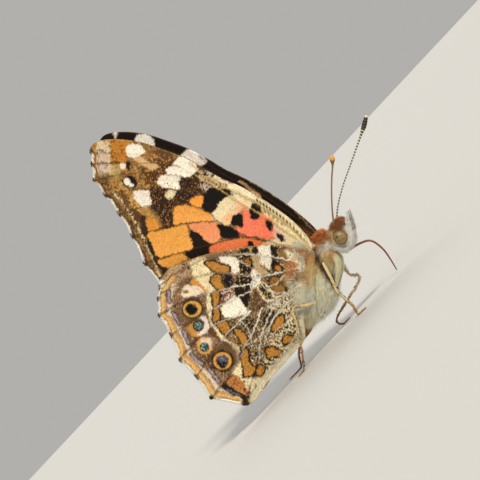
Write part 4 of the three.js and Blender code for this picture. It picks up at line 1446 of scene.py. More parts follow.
# %% Forewing underside
def paint_forewing_under(across, down):
    """Colours of the side that shows when the wings are closed."""
    painter = Painter(across, down, "#8a6536")
    edge = line_distance(painter.rough, scalloped(np.array(FOREWING_VEIN_ENDS, float), -1.7, 0))[0]
    painter.follow(FOREWING_GROUND)
    painter.follow(FOREWING_TIP)
    painter.follow(FOREWING_BANDS)
    for middle, half, soft, strength, colour in FOREWING_MARGIN_LINES:
        painter.lay(painter.edge(np.abs(edge - middle) - half, soft) * strength, colour)
    for across_end, down_end in FOREWING_VEIN_ENDS:
        painter.spot(across_end + 1, down_end, 4.2, 2.4, "#241810", 0, 1.5, 0.9)
    painter.follow(FOREWING_WHITE_SPOTS)
    painter.follow(FOREWING_DARK_PARTS)
    painter.follow(FOREWING_ORANGE_FIELDS)
    painter.follow(FOREWING_CELL)
    painter.follow(FOREWING_FRONT_EDGE)
    painter.follow(FOREWING_BLOTCHES)
    row = smooth_line(FLECK_ROW, 20)
    for fleck in row[::4]:
        painter.spot(fleck[0], fleck[1] + 1.2, 2.3, 1.0, "#1d150e", 70, 0.9, 0.95, True)
    for fleck in row[:40:5]:
        painter.spot(fleck[0] - 4.5, fleck[1] + 4.5, 1.6, 0.8, "#3d2e1b", 70, 0.9, 0.7, True)
    # veins and the margin's own line
    for vein in FOREWING_VEINS[2:5]:
        painter.line(vein, 1.1, "#4c331b", 0.9, 0.7)
    for vein in FOREWING_VEINS:
        if vein[-1] in FOREWING_VEIN_ENDS:
            painter.line(vein[-2:], 1.1, "#3c2814", 0.9, 0.55)
    for vein in FOREWING_VEINS[6:]:
        painter.line(vein, 1.3, "#3a2314", 1.0, 0.75)
    for vein in FOREWING_VEINS[:2]:
        painter.line(vein[:7], 1.6, "#c2a253", 1.0, 0.8)
        painter.line([(a - 1.0, d + 1.4) for a, d in vein[:7]], 0.7, "#4c3a20", 0.8, 0.6)
    return painter


# %% [markdown]
# Markings of the hindwing's underside
#
# Marbled brown, cream and grey, with pale veins that meet in a white hub, a cream band across, four
# eyespots in a row, and a yellow border with fine lines. The eyespots are rings in rings: black rim,
# yellow ring, black middle, and blue-green scales in two of them.


# %% Marbled ground of the hindwing
HINDWING_MIDDLE = [(215, 255), (300, 250), (304, 335), (262, 385), (232, 345), (212, 300)]
HINDWING_GROUND = [
    ("patch", [(190, 262), (205, 300), (225, 345), (245, 385), (300, 350), (305, 300), (300, 250),
     (230, 250)], "#7d6243", 4),
    ("patch", [(262, 318), (280, 298), (304, 296), (306, 336), (294, 352), (272, 372), (258, 380),
     (254, 350)], "#cdbf9c", 6),
    ("patch", [(224, 316), (246, 318), (262, 310), (270, 328), (264, 362), (250, 366), (244, 345),
     (230, 328)], "#5d4a38", 4, 0.9),
    ("speckle", HINDWING_MIDDLE, "#241910", 1.4,
     0.46),
    ("speckle", HINDWING_MIDDLE, "#a9834a", 1.2,
     0.3, 11),
    ("speckle", HINDWING_MIDDLE, "#dccfb0", 1.2,
     0.22, 9),
    ("patch", [(266, 300), (280, 300), (276, 308), (262, 311)], "#cfc6b2", 2.5, 0.8),
]

# %% Outer field of the hindwing
HINDWING_OUTER = [(168, 265), (200, 290), (212, 330), (236, 360), (224, 384), (186, 344), (168, 300)]
HINDWING_OUTER_FIELD = [
    ("patch", [(172, 266), (192, 262), (192, 275), (188, 282), (176, 287), (167, 290), (164, 278)],
     "#a88a69", 3),
    ("speckle", [(180, 262), (194, 262), (190, 274), (180, 270)], "#4d3a26", 1.5, 0.5),
    ("patch", [(180, 280), (194, 277), (205, 288), (196, 284), (184, 288), (176, 294)], "#6a4d33", 3,
     0.8),
    ("patch", [(172, 300), (182, 298), (186, 306), (182, 318), (176, 312)], "#7d5c42", 4, 0.8),
    ("patch", [(176, 312), (190, 320), (205, 342), (215, 372), (226, 386), (212, 378), (198, 360),
     (188, 342), (178, 322)], "#6b4f37", 4, 0.95),
    ("patch", [(183, 300), (200, 298), (210, 318), (206, 342), (226, 350), (232, 372), (214, 372),
     (200, 352), (186, 326)], "#5c432d", 3, 0.9),
    ("speckle", HINDWING_OUTER,
     "#b89878", 1.2, 0.25, 17),
    ("speckle", HINDWING_OUTER,
     "#3a2818", 1.3, 0.28, 19),
    ("patch", [(208, 312), (214, 326), (230, 342), (236, 356), (230, 350), (215, 340), (206, 330)],
     "#5a3f28", 3),
]

# %% Cream band across the hindwing
HINDWING_CREAM_BAND = [
    ("patch", [(190, 262), (206, 257), (206, 264), (212, 271), (217, 273.5), (211, 280), (211, 285),
     (216, 290), (213, 300), (213, 312), (216, 325), (221, 334), (227, 340), (234, 345), (240, 350),
     (241, 360), (243, 372), (246, 380), (239, 379), (233, 372), (236, 362), (234, 352), (229, 345),
     (218, 337), (212, 327), (208, 314), (206, 300), (206, 291), (199, 284), (193, 278), (192, 268)],
     "#e4d3a9", 2),
    ("patch", [(238, 378), (262, 379), (282, 360), (300, 346), (296, 356), (270, 384), (254, 402),
     (246, 396), (240, 386)], "#dccba8", 3),
    ("patch", [(192, 279), (200, 283), (206, 290), (204, 293), (198, 286), (191, 284)], "#c98a3c", 2.5),
    ("patch", [(181, 292), (184, 287), (190, 285), (198, 286), (203, 289), (203, 293), (196, 296),
     (186, 298), (182, 297)], "#dfccb3", 1.6),
    ("spot", 185.3, 292, 2.4, 2.2, "#7a5626", 0, 2),
]

# %% Dark crescents before the border
HINDWING_LUNULES = [
    [(168.3, 292), (167.8, 297), (169, 302)],
    [(172, 313), (174.5, 319), (177.5, 324)],
    [(183, 333), (185.5, 339), (188.5, 344.5)],
    [(191, 356), (196.5, 361.5), (202.5, 365.5)],
    [(209, 371.5), (213.5, 378), (218.5, 383)],
]

# %% Rear corner of the hindwing
HINDWING_CORNER = [
    ("line", [(224, 388), (234, 394), (247, 401)], 6.5, "#1d1a1c", 1.4),
    ("line", [(227, 391), (233, 395), (240, 398)], 1.5, "#5d6576", 1.4),
    ("patch", [(228, 380), (238, 378), (246, 388), (250, 398), (240, 394), (228, 386)], "#b3743a", 2.5),
    ("speckle", [(226, 378), (240, 376), (250, 390), (248, 398), (228, 388)], "#5a3418", 1.2, 0.34),
    ("patch", [(207, 399), (212, 398), (218, 407), (209, 408), (204, 403)], "#1c140e", 1.5),
    ("spot", 246, 405, 4.5, 4.5, "#231a12", 0, 2.5),
    ("speckle", [(200, 258), (296, 300), (290, 345), (250, 380), (210, 330)], "#6f431c", 1.0, 0.24, 14,
     0.8),
]

# %% White and cream patches inward of the band
HINDWING_WHITE_PATCHES = [
    ("patch", [(237, 296.5), (245, 306), (248, 313), (245, 316), (233, 317), (226, 317.5), (222, 313),
     (223, 307), (230, 300)], "#ece5d2", 1.6),
    ("patch", [(220, 256), (233, 257), (239, 262), (240, 271), (232, 272), (228, 266), (222, 262)],
     "#e7decd", 1.8),
    ("patch", [(257, 247), (269, 246), (270, 256), (273, 262), (271, 269), (262, 265), (257, 262),
     (260, 257)], "#e2d8c4", 2),
    ("patch", [(283, 251), (290, 252), (303, 268), (300, 272), (292, 262), (284, 254)], "#ddd3bb", 3),
    ("patch", [(250, 272), (256, 269), (261, 276), (259, 286), (255, 290), (251, 285), (251, 278)],
     "#e8dfcf", 2),
    ("patch", [(252, 254), (258, 256), (262, 268), (270, 272), (262, 275), (254, 270)], "#b49a72", 3),
]

# %% Dark cells of the hindwing
HINDWING_DARK_CELLS = [
    [(252, 249), (256, 247), (258, 253.5), (252, 253.5)],
    [(240, 251), (246, 248.5), (250, 252), (249, 254), (241, 254)],
    [(240, 258), (248, 256), (252, 260), (254, 269), (249, 267), (243, 262)],
    [(240, 263), (249, 268), (252, 271), (249, 274), (241, 272.5)],
    [(236, 277), (240, 275), (250, 276), (252, 281), (248, 284), (237, 285.5)],
    [(236, 288), (248, 285), (251, 285), (247, 292), (238, 297), (235, 293)],
    [(240, 298), (248, 293), (250.5, 300), (249, 306), (246, 308), (242, 303)],
    [(223, 276), (229, 274.5), (233, 278), (233, 286), (228, 288.5), (224, 283)],
    [(259, 283), (263, 283), (267, 286), (270, 294), (272, 298), (268, 299), (262, 294)],
    [(270, 247), (279, 247), (276, 252), (279, 260), (275, 257), (270, 251)],
    [(272, 259), (277, 262), (283, 268), (281, 272.5), (274, 272), (271, 267)],
    [(263, 313), (271, 309), (275, 314), (270, 324), (266, 327), (262, 320)],
    [(241, 320), (248, 316), (254, 322), (253, 330), (244, 328)],
]

# %% Mottling round the dark cells
HINDWING_CELL_MOTTLING = [
    ("patch", [(253, 290), (256, 288), (259, 293), (262, 298), (268, 302), (264, 309), (254, 311),
     (251, 306)], "#5f4028", 1.8),
    ("patch", [(220, 291), (230, 289.5), (233, 296), (226, 302), (220, 304)], "#6a4c3a", 2),
    ("speckle", [(220, 290), (233, 289), (233, 297), (221, 304)], "#cbaea0", 1.4, 0.42),
    ("speckle", [(250, 288), (258, 288), (269, 302), (263, 312), (250, 311)], "#9a8560", 1.1, 0.34, 29,
     0.9, 2),
    ("speckle", [(236, 256), (254, 256), (254, 285), (236, 286)], "#b99a62", 1.1, 0.26),
    ("speckle", [(222, 274), (234, 274), (234, 289), (224, 289)], "#7c5a6a", 1.1, 0.3),
    ("speckle", [(258, 282), (272, 282), (273, 300), (260, 296)], "#b59b5a", 1.3, 0.36),
    ("speckle", [(238, 312), (262, 306), (279, 305), (277, 330), (258, 334), (238, 334)], "#8f7a58", 1.1,
     0.34),
    ("speckle", [(256, 252), (302, 256), (304, 330), (262, 336)], "#22180e", 1.3, 0.26, 27, 0.85),
    ("spot", 248, 262, 2.6, 2.0, "#9a6428", 30, 2),
    ("spot", 277.5, 268, 3.2, 2.4, "#b5752c", 30, 2),
    ("patch", [(280, 250), (284, 252), (290, 264), (284, 265), (279, 258)], "#80602f", 3),
]

# %% Ochre blotches of the hindwing
HINDWING_BLOTCHES = [
    [(206, 263), (212, 261), (221, 265), (229, 269), (228, 272.5), (218, 272.5), (212, 269.5)],
    [(211, 280), (215, 275.5), (220, 275), (221, 281), (224, 288), (221, 290.5), (217, 289), (212, 283)],
    [(212, 293), (218, 292), (219, 299), (217, 306), (214, 305), (212.5, 298)],
    [(214, 310), (219, 309), (219, 318), (216, 324), (213, 320)],
    [(217, 325), (222, 321), (228, 325), (229, 332), (226, 335), (221, 332)],
    [(234, 331), (239, 329.5), (246, 338), (247, 343), (244, 346), (240, 341)],
    [(241, 357), (244, 351), (248, 352), (249, 362), (255, 370), (254, 375), (250, 377.5), (244, 377.5),
     (243, 368)],
    [(257, 371), (260, 367), (264, 370), (262, 376), (258, 377)],
    [(267, 350), (273, 349), (280, 352), (280, 357), (273, 358), (268, 359)],
    [(283, 340), (287, 337), (294, 339), (291, 343), (284, 345)],
    [(272, 330), (275, 322), (281, 316), (284, 319), (283, 325), (278, 330)],
]

# %% Brown patches and fine lines beside the blotches
HINDWING_BLOTCH_DETAILS = [
    ("patch", [(270, 279), (276, 277), (284, 283), (284, 293), (277, 296), (271, 289)], "#8b6536", 1.4,
     1.0, "#2c1c10"),
    ("patch", [(281, 276), (288, 274), (291, 282), (288, 290), (283, 284)], "#94703f", 1.4, 1.0,
     "#2c1c10"),
    ("speckle", [(268, 276), (292, 272), (290, 292), (274, 298)], "#2e1d10", 1.1, 0.34, 31, 0.9, 2),
    ("line", [(260, 361), (267, 365.5), (275, 367)], 1.8, "#2a2016", 1.2),
    ("line", [(250, 398), (254, 391), (256, 387)], 1.0, "#4a3a26", 1.2),
]

# %% Pale veins that cross near the hub
HINDWING_CROSS_VEINS = [
    ("line", [(258, 281), (266, 285), (274, 296), (281, 296)], 1.5, "#e2d6bf", 1.0, 0.8),
    ("line", [(258, 288), (262, 297), (268, 303)], 1.5, "#e2d6bf", 1.0, 0.8),
    ("line", [(240, 262), (249, 267)], 1.1, "#d9cdb8", 0.9, 0.8),
]

# %% Fine pale strands between the veins
HINDWING_NETTING = [
    [(257, 281), (265, 289), (273, 293), (285, 293)],
    [(265, 287), (277, 283), (285, 275)],
    [(269, 301), (285, 295), (293, 287)],
    [(273, 307), (265, 325), (261, 339), (259, 363)],
    [(289, 309), (277, 315), (269, 329), (265, 343)],
    [(297, 313), (289, 321), (273, 333)],
    [(246, 346), (256, 341), (264, 333)],
    [(240, 321), (248, 330), (252, 343)],
]

# %% Eyespots of the hindwing
HINDWING_EYESPOTS = [
    ("spot", 192, 309.5, 11.2, 10.0, "#3a2413", -8, 2.2),
    ("spot", 191.8, 309.6, 9.3, 8.1, "#cc9c4c", -8, 1.1, 1.0, True),
    ("spot", 191.3, 310, 6.5, 6.0, "#14100b", 0, 1.8),
    ("spot", 194.5, 306.5, 2.0, 1.4, "#5a4a3a", 30, 2, 0.7),
    ("spot", 195, 330, 8, 7.5, "#b9853f", 0, 3),
    ("patch", [(200, 318), (206, 317.5), (209, 325), (207, 332), (201, 336), (197, 335), (203, 329),
     (203.5, 322)], "#dccdc0", 1.6),
    ("spot", 198, 326.8, 5.6, 5.6, "#16130f", 0, 1.1, 1.0, True),
    ("spot", 198.3, 326.5, 4.3, 4.0, "#4a5f5c", 0, 2.5),
    ("spot", 204.5, 346.8, 9.4, 10.2, "#5a3f28", 0, 1.8),
    ("spot", 204.5, 346.8, 8.3, 9.1, "#cf9750", 0, 1.8),
    ("spot", 206.5, 344, 6.4, 5.4, "#dcc4aa", 30, 3),
    ("spot", 204.2, 348.5, 4.9, 4.9, "#15120e", 0, 1.1, 1.0, True),
    ("spot", 204.0, 348.2, 3.7, 3.5, "#4c685f", 0, 2.2),
    ("spot", 226, 358, 14, 14, "#5f432b", -20, 6, 0.9),
    ("spot", 222.3, 362.1, 11.4, 10.9, "#1d140d", 0, 1.8),
    ("spot", 222.3, 362.3, 9.3, 8.9, "#cc9145", 0, 1.1, 1.0, True),
    ("spot", 222, 363, 6.5, 6.6, "#15110e", 0, 1.6),
    ("spot", 222, 360.5, 4.6, 3.4, "#51566f", 0, 2.6),
]

# %% Border stripes and glints of the hindwing
HINDWING_BORDER = [
    (12.0, 3, 3, 1, 284, "#cfbda8"), (6.4, 3.4, 1.6, 1, 276, "#d2ac73"),
    (8.6, 1.2, 1.6, 0.6, 276, "#b9792f"), (10.2, 0.4, 1.0, 0.75, 276, "#5d4022"), (4.4, 0.4, 1.0, 0.8, 272, "#4f371c"),
    (0, 3.2, 1.2, 0.95, 280, "#e6e1cc")]
EYESPOT_MIDDLES = [(198, 326.5), (204, 348.2), (222.5, 363)]
GLINT_REACH = 4.4

# %% Hindwing underside
def paint_hindwing_under(across, down):
    """Colours of the side that shows when the wings are closed."""
    painter = Painter(across, down, "#8a6c50")
    margin = scalloped(np.array(HINDWING_COSTA[-2:] + HINDWING_VEIN_ENDS, float), -1.6, 0)
    edge = line_distance(painter.rough, margin)[0]
    painter.follow(HINDWING_GROUND)
    painter.follow(HINDWING_OUTER_FIELD)
    painter.follow(HINDWING_CREAM_BAND)
    # border: fringe side first, then inward
    for middle, half, soft, strength, from_down, colour in HINDWING_BORDER:
        stripe = painter.edge(np.abs(edge - middle) - half, soft)
        painter.lay(stripe * strength * (down > from_down), colour)
    for across_end, down_end in HINDWING_VEIN_ENDS:
        painter.spot(across_end + 1, down_end - 1, 3.6, 3.2, "#2a1d12", 30, 2, 0.85)
    for lunule in HINDWING_LUNULES:
        painter.line(lunule, 4.8, "#3f2f26", 1.4)
        painter.line(lunule, 2.2, "#a0929a", 1.2)
    painter.follow(HINDWING_CORNER)
    painter.follow(HINDWING_WHITE_PATCHES)
    for outline in HINDWING_DARK_CELLS:
        painter.patch(outline, "#1d140d", 1.5)
    painter.follow(HINDWING_CELL_MOTTLING)
    for outline in HINDWING_BLOTCHES:
        painter.patch(outline, "#b07a36", 1.2, 1.0, "#24170d", 1.9)
        painter.speckle(outline, "#6b4318", 1.1, 0.3, 24, 0.8, 1.5)
    painter.follow(HINDWING_BLOTCH_DETAILS)
    # pale veins, strongest near the hub
    for vein in HINDWING_VEINS:
        painter.line(vein, 2.2, "#2e2015", 1.2, 0.6, 0.3)
        painter.line(vein, 0.9, "#f8f2e4", 1.0, 1.2, 1.6)
    painter.follow(HINDWING_CROSS_VEINS)
    for strand in HINDWING_NETTING:
        painter.line(strand, 0.8, "#efe6d2", 1.0, 0.85, 0.4)
    for vein in HINDWING_VEINS:
        if vein[-1] in HINDWING_VEIN_ENDS:
            painter.line(vein[-2:], 1.0, "#4a3018", 0.9, 0.6)
    painter.follow(HINDWING_EYESPOTS)
    glints = painter.edge(0.74 - noise(painter.marks, 1.1, 21), 0.2)
    for centre in EYESPOT_MIDDLES:
        near = np.hypot(*(painter.marks - centre).T) < GLINT_REACH
        painter.lay(near * glints * 0.75, "#a9c6c2")
        painter.lay(near * painter.edge(0.66 - noise(painter.marks, 1.3, 23), 0.2) * 0.85, "#14110d")
    # pale hairy fold along the body
    fold = line_distance(painter.rough, smooth_line(HINDWING_INNER))[0]
    painter.lay(painter.edge(fold - 5, 6) * 0.85, "#ddd1b0")
    return painter


# %% [markdown]
# Upper sides
#
# They face each other and show only along the front edge, from above and from behind: orange with a
# black tip and white spots on the forewing, orange with rows of black spots on the hindwing.


# %% Marks and painted shade on the forewing's upper side
FOREWING_UPPER_MARKS_AND_SHADE = [
    ("patch", [(318, 240), (270, 190), (200, 150), (130, 125), (75, 130), (75, 190), (110, 225),
     (150, 232), (176, 212), (205, 206), (214, 216), (236, 200), (262, 214), (300, 250)], "#1c1512", 3),
    ("patch", [(228, 196), (246, 200), (256, 212), (240, 220), (224, 214)], "#d8793a", 2),
    ("line", [(108, 205), (128, 240), (148, 275), (165, 300)], 16, "#1f1713", 3),
    ("patch", [(190, 226), (206, 240), (212, 256), (190, 258), (184, 248)], "#1f1713", 2),
    ("patch", [(127, 145), (131, 141), (139, 142), (145, 147), (145, 152), (134, 156), (127, 155)],
     "#ece5d8", 1.4),
    ("patch", [(160, 180), (166, 170), (172, 163), (182, 156), (194, 160), (199, 170), (184, 178),
     (179, 188), (163, 186)], "#e6ded2", 1.4),
    ("spot", 122.7, 165.3, 2.6, 2.8, "#ece5d8"),
    ("spot", 127.5, 181, 2.8, 3.2, "#ece5d8"),
    ("spot", 142, 198, 7.0, 6.5, "#ece5d8", 20),
    ("spot", 106, 141, 2.2, 4.5, "#dfd0c4", 10, 2),
    ("line", [(232, 189), (243, 196), (254, 205)], 2.2, "#d9b07c", 1.6, 0.9),
    ("spot", 240, 222, 5, 5, "#1f1713"),
    ("patch", [(262, 240), (310, 240), (310, 262), (270, 275), (240, 270)], "#8a5a34", 14, 0.8),
    # painted shade: a broad dark band along the front edge, where the upper side faces the other wing and gets little
    # light
    ("line", [(200, 158), (240, 182), (280, 206), (314, 240)], 16, "#201814", 6, 0.95),
    ("line", [(200, 163), (240, 186), (280, 211), (312, 245)], 1.2, "#a58a5a", 1.2, 0.7),
]

# %% Forewing's upper side
def paint_forewing_upper(across, down):
    painter = Painter(across, down, "#d8793a")
    painter.follow(FOREWING_UPPER_MARKS_AND_SHADE)
    for vein in FOREWING_VEINS:
        painter.line(vein, 1.0, "#3c2416", 1.0, 0.6)
    return painter


# %% Spots and brown base of the hindwing's upper side
HINDWING_UPPER_EYESPOTS = [(191, 309), (198, 327), (204, 348), (222, 362)]
HINDWING_UPPER_MIDDLE = (235.0, 320.0)
HINDWING_UPPER_ROWS = [(12, 3.0), (33, 4.2)]
HINDWING_UPPER_SHADE = [
    ("patch", [(300, 250), (240, 262), (228, 300), (246, 345), (262, 392), (304, 344)], "#7d5a3c", 16,
     0.85),
]

# %% Hindwing's upper side
def paint_hindwing_upper(across, down):
    painter = Painter(across, down, "#d8803c")
    margin = smooth_line(HINDWING_COSTA[-2:] + HINDWING_VEIN_ENDS)
    edge = line_distance(painter.rough, margin)[0]
    painter.lay(painter.edge(edge - 5.0, 1.5), "#dccfb4")
    painter.lay(painter.edge(np.abs(edge - 6.5) - 1.8, 1.5), "#201612")
    for spot_middle in HINDWING_UPPER_EYESPOTS:
        painter.spot(*spot_middle, 5, 5, "#1b1310")
    for share in np.linspace(0.1, 0.95, 7):
        middle = margin[int(share * (len(margin) - 1))]
        inward = HINDWING_UPPER_MIDDLE - middle
        inward /= np.hypot(*inward)
        for reach, size in HINDWING_UPPER_ROWS:
            painter.spot(*(middle + inward * reach), size, size, "#201612")
    painter.follow(HINDWING_UPPER_SHADE)
    for vein in HINDWING_VEINS:
        painter.line(vein, 1.0, "#5a3a22", 1.0, 0.5)
    return painter


# %% [markdown]
# Build a wing
#
# A wing could be drawn as an outline and filled, but then it would have no vertices inside to carry its
# markings and its relief. So a fine grid is cut along the outline, its rim is moved onto the outline,
# and the sheet is set off from the middle plane, given its thickness, and painted on both faces.

# %% Cut a grid to a wing's outline
def nearest_on(points, outline):
    """The nearest place on a closed outline for each point."""
    closed = np.vstack([outline, outline[:1]])
    best = np.full(len(points), np.inf)
    found = points.copy()
    for start, end in zip(closed[:-1], closed[1:]):
        step = end - start
        share = np.clip(((points - start) @ step) / max(step @ step, 1e-12), 0, 1)
        spot = start + share[:, None] * step
        gap = np.hypot(*(points - spot).T)
        nearer = gap < best
        best[nearer] = gap[nearer]
        found[nearer] = spot[nearer]
    return found


def cut_grid(outline):
    """A flat grid cut along an outline, and where its vertices lie with the rim on the outline."""
    low, high = outline.min(0) - WING_STEP, outline.max(0) + WING_STEP
    columns, rows = np.ceil((high - low) / WING_STEP).astype(int)
    bpy.ops.object.select_all(action="DESELECT")
    bpy.ops.mesh.primitive_grid_add(x_subdivisions=int(columns), y_subdivisions=int(rows), size=1,
                                    location=(0, 0, 0))
    wing = bpy.context.object
    points = (vertices_of(wing)[:, :2] + 0.5) * (high - low) + low
    set_vertices(wing, np.column_stack([points, np.zeros(len(points))]))
    wing.data.edges.foreach_set("select", np.zeros(len(wing.data.edges), bool))
    wing.data.polygons.foreach_set("select", np.zeros(len(wing.data.polygons), bool))
    wing.data.vertices.foreach_set("select", ~inside_of(points, outline))
    bpy.ops.object.mode_set(mode="EDIT")
    bpy.ops.mesh.select_mode(type="VERT")
    bpy.ops.mesh.delete(type="VERT")
    bpy.ops.mesh.select_all(action="SELECT")
    bpy.ops.mesh.select_mode(type="EDGE")
    bpy.ops.mesh.select_all(action="DESELECT")
    bpy.ops.mesh.select_non_manifold(extend=False)
    bpy.ops.mesh.select_mode(type="VERT")
    bpy.ops.object.mode_set(mode="OBJECT")
    rim = np.zeros(len(wing.data.vertices), bool)
    wing.data.vertices.foreach_get("select", rim)
    points = vertices_of(wing)[:, :2]
    points[rim] = nearest_on(points[rim], outline)
    return wing, points


# %% Raise, thicken and paint a wing
TOP_CLEARANCE = 0.01


def vein_gap(points, veins):
    """Distance of every point to the nearest vein."""
    gap = np.full(len(points), np.inf)
    for vein in veins:
        gap = np.minimum(gap, line_distance(points, vein)[0])
    return gap


def wing_middle(kind, side, points, gap):
    """How far sideways the middle of a wing lies, its pleats sagging between the veins."""
    away = standoff(kind, points) - PLEAT_SAG * (1 - np.exp(-(gap / PLEAT_REACH) ** 2))
    return SHIFT_Y + side * away


def wing_piece(kind, side, outline, veins, under, upper):
    """The right wing of a pair: cut, set off, given thickness, and painted on both faces."""
    wing, points = cut_grid(outline)
    sideways = wing_middle(kind, side, points, vein_gap(points, veins))
    set_vertices(wing, np.column_stack([points[:, 0], sideways, points[:, 1]]) * MM)
    solidify = wing.modifiers.new("thickness", "SOLIDIFY")
    solidify.thickness = WING_THICKNESS * MM
    solidify.offset = 0
    bpy.ops.object.modifier_apply(modifier="thickness")
    corners = vertices_of(wing) / MM
    gap = vein_gap(corners[:, [0, 2]], veins)
    outer = (corners[:, 1] - wing_middle(kind, side, corners[:, [0, 2]], gap)) * side > 0
    corners[:, 2] = np.minimum(corners[:, 2], solid_high.z / MM - TOP_CLEARANCE)
    corners[:, 1] += np.where(outer, side, -side) * VEIN_RIDGE * np.exp(-(gap / VEIN_WIDTH) ** 2)
    set_vertices(wing, corners * MM)
    recalculate_outside(wing)
    across, down = to_picture(corners[:, 0], corners[:, 2], -WING_OFFSETS[kind])
    colours = np.zeros((len(corners), 3))
    for face, paint in ((outer, under), (~outer, upper)):
        colours[face] = paint(across[face], down[face]).colour
    give_pigment(wing, colours * random.uniform(1 - SCALE_GRAIN, 1 + SCALE_GRAIN, (len(colours), 1)))
    print(kind, len(wing.data.vertices), "vertices,", len(wing.data.polygons), "faces")
    return wing


def mirrored_copy(wing):
    """The other side's wing, as the same mesh mirrored at the middle plane."""
    bpy.ops.object.select_all(action="DESELECT")
    wing.select_set(True)
    bpy.context.view_layer.objects.active = wing
    bpy.ops.object.duplicate()
    other = bpy.context.object
    set_vertices(other, vertices_of(other) * [1, -1, 1] + [0, 2 * SHIFT_Y * MM, 0])
    recalculate_outside(other)
    return other

# %% [markdown]
# Fringe
#
# The outer margin carries a fringe of long scales, white in the bays between the veins and black at the
# vein ends. They are the same spikes as the hair, set edge to edge along the margin and pointing out.


# %% Build a fringe
FRINGE_SPACING = 0.035
FRINGE_WIDTH = 0.075
FRINGE_OVERLAP = 0.1
FRINGE_ROOT = 0.12
FRINGE_LAYER = 0.05
FRINGE_INWARD = 0.04
EDGE_STEP = 0.3
DARK_END_REACH = 0.56
FRINGE_DARK = "#2a2019"
FRINGE_WHITE = "#efecdc"
WING_CHART_MM = 42.0
WING_CHART_LOW = np.array([-20.0, 0.0])
WING_MIDDLES = {"forewing": (190, 205), "hindwing": (235, 320)}


def fringe(kind, word, side, edge, ends):
    """Long scales along the outer margin of a wing."""
    run = np.concatenate([[0], np.cumsum(np.hypot(*np.diff(edge, axis=0).T))])

    def on_edge(along):
        return np.column_stack([np.interp(along, run, edge[:, i]) for i in (0, 1)])

    along = np.repeat(np.arange(0, run[-1], FRINGE_SPACING), 2)
    along = along + random.uniform(-0.02, 0.02, len(along))
    roots = on_edge(along)
    count = len(roots)
    ahead = on_edge(along + EDGE_STEP) - on_edge(along - EDGE_STEP)
    outward = np.column_stack([ahead[:, 1], -ahead[:, 0]])
    outward /= np.hypot(*outward.T)[:, None]
    middle = flat([WING_MIDDLES[kind]], WING_OFFSETS[kind])[0]
    outward *= np.sign(np.sum(outward * (roots - middle), axis=1))[:, None]
    to_end = np.min([np.hypot(*(roots - end).T) for end in ends], axis=0)
    dark = to_end + random.normal(0, 0.06, count) < DARK_END_REACH
    colours = np.where(dark[:, None], linear(FRINGE_DARK), linear(FRINGE_WHITE))
    colours = colours * random.uniform(0.85, 1.15, count)[:, None]
    layer = np.where(np.arange(count) % 2 == 0, FRINGE_LAYER, -FRINGE_LAYER)
    away = SHIFT_Y + side * (standoff(kind, roots) - FRINGE_INWARD + layer)
    starts = roots - outward * FRINGE_ROOT
    point_out = np.column_stack([outward[:, 0], random.normal(0, 0.06, count), outward[:, 1]])
    lengths = (FRINGE_LENGTH + FRINGE_OVERLAP) * random.uniform(0.75, 0.97, count)
    return tufts(f"fringe_{kind}_{word}", np.column_stack([starts[:, 0], away, starts[:, 1]]), point_out,
                 point_out, lengths, np.full(count, FRINGE_WIDTH), colours,
                 (roots - WING_CHART_LOW) / WING_CHART_MM)


# %% Make the four wings
WINGS = {
    "forewing": (FOREWING_COSTA, FOREWING_VEIN_ENDS, FOREWING_DORSUM, FOREWING_VEINS, 0.22,
                 paint_forewing_under, paint_forewing_upper),
    "hindwing": (HINDWING_COSTA, HINDWING_VEIN_ENDS, HINDWING_INNER, HINDWING_VEINS, 0.2,
                 paint_hindwing_under, paint_hindwing_upper),
}
for kind, (costa, ends, back, veins, scallop, under, upper) in WINGS.items():
    offset = WING_OFFSETS[kind]
    outline, edge = margin_of(costa, ends, back, offset, scallop, FRINGE_LENGTH)
    vein_lines = [smooth_line(flat(vein, offset)) for vein in veins]
    right = wing_piece(kind, SIDES["right"], outline, vein_lines, under, upper)
    for (word, side), wing in zip(SIDES.items(), (right, mirrored_copy(right))):
        finish_piece(wing, f"{kind}_{word}_membrane", wing_scales, [f"{kind}_{word}"])
        fringe(kind, word, side, edge, flat(ends, offset))

# %% [markdown]
# Hair at the wing bases
#
# Long soft hair grows over the roots of the wings and along the hindwing's inner fold, so a wing seems
# to grow out of the fur. It could be painted, but only real hair softens the joint in side light. It
# starts on the wing's outer face and points away from a hub. Its colour is the wing's own marking at the
# root, turned toward cream, with orange patches.


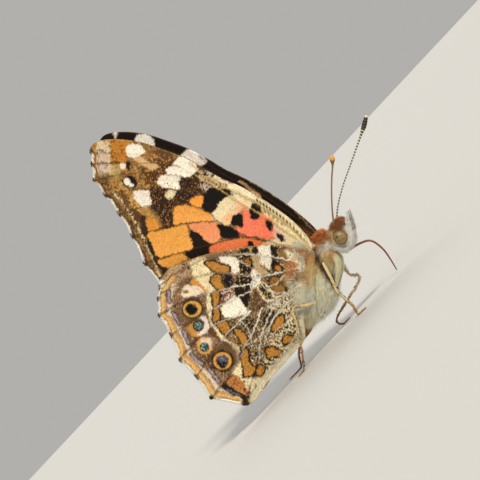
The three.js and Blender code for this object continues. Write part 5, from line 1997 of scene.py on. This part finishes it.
# %% Hair on the wings
WING_HAIR_CREAM = "#eae1c8"
WING_HAIR_MARKS = [
    ("spot", 291, 270, 6, 10, "#d08a48", 15, 4, 0.9),
    ("spot", 307, 253, 9, 6, "#a8703a", 0, 4, 0.85),
    ("spot", 303, 277, 8, 5, HAIR_ORANGE, 0, 4, 0.7),
]
HINDWING_BASE = [(303, 254), (304, 300), (303, 316), (297, 312), (291, 292), (287, 272), (293, 256)]
HINDWING_BASE_HUB = (296, 280)
HINDWING_FOLD_BAND = [(304, 312), (304, 337), (291, 355), (268, 383), (255, 401), (250, 401), (264, 375),
                      (285, 350), (297, 332)]
HINDWING_FOLD_HUB = (306, 262)
FOREWING_BASE = [(315, 246), (312, 257), (298, 256), (290, 251), (295, 241), (304, 241)]
WING_HAIR = {
    "hindwing_base": ("hindwing", HINDWING_BASE, HINDWING_BASE_HUB, 2700, 0.9, 0.45, 0.03, 0.9),
    "hindwing_fold": ("hindwing", HINDWING_FOLD_BAND, HINDWING_FOLD_HUB, 2200, 0.5, 0.2, 0.028, 0.85),
    "forewing_base": ("forewing", FOREWING_BASE, FOREWING_ROOT, 1300, 0.75, 0.4, 0.03, 0.85),
}
UNDERSIDES = {"forewing": paint_forewing_under, "hindwing": paint_hindwing_under}


def wing_hair(name, side, kind, region, hub_mark, count, length, lift, width, cream):
    """Hair on a region, in picture marks, of a wing's outer face, pointing away from a hub."""
    region = np.array(region, float)
    marks = random.uniform(region.min(0), region.max(0), (count * 4, 2))
    marks = marks[inside_of(marks, region)][:count]
    roots = flat(marks, WING_OFFSETS[kind])
    hub = flat([hub_mark], WING_OFFSETS[kind])[0]
    away = SHIFT_Y + side * (standoff(kind, roots) + WING_THICKNESS / 2 - 0.06)
    outward = roots - hub
    outward /= np.maximum(np.hypot(*outward.T), 0.05)[:, None]
    direction = np.column_stack([outward[:, 0], np.full(len(roots), side * lift), outward[:, 1]])
    direction += random.normal(0, 0.34, direction.shape)
    lying = direction * [1, 0.15, 1]
    painter = Painter(marks[:, 0], marks[:, 1], WING_HAIR_CREAM)
    painter.follow(WING_HAIR_MARKS)
    own = UNDERSIDES[kind](marks[:, 0], marks[:, 1]).colour
    colours = (own * (1 - cream) + painter.colour * cream) * random.uniform(0.8, 1.2, len(roots))[:, None]
    starts = np.column_stack([roots[:, 0], away, roots[:, 1]])
    return tufts(name, starts, direction, lying, length * random.uniform(0.5, 1.1, len(roots)),
                 np.full(len(roots), width), colours, (roots - WING_CHART_LOW) / WING_CHART_MM)


for word, side in SIDES.items():
    for region, growth in WING_HAIR.items():
        wing_hair(f"coat_{region}_{word}", side, *growth)
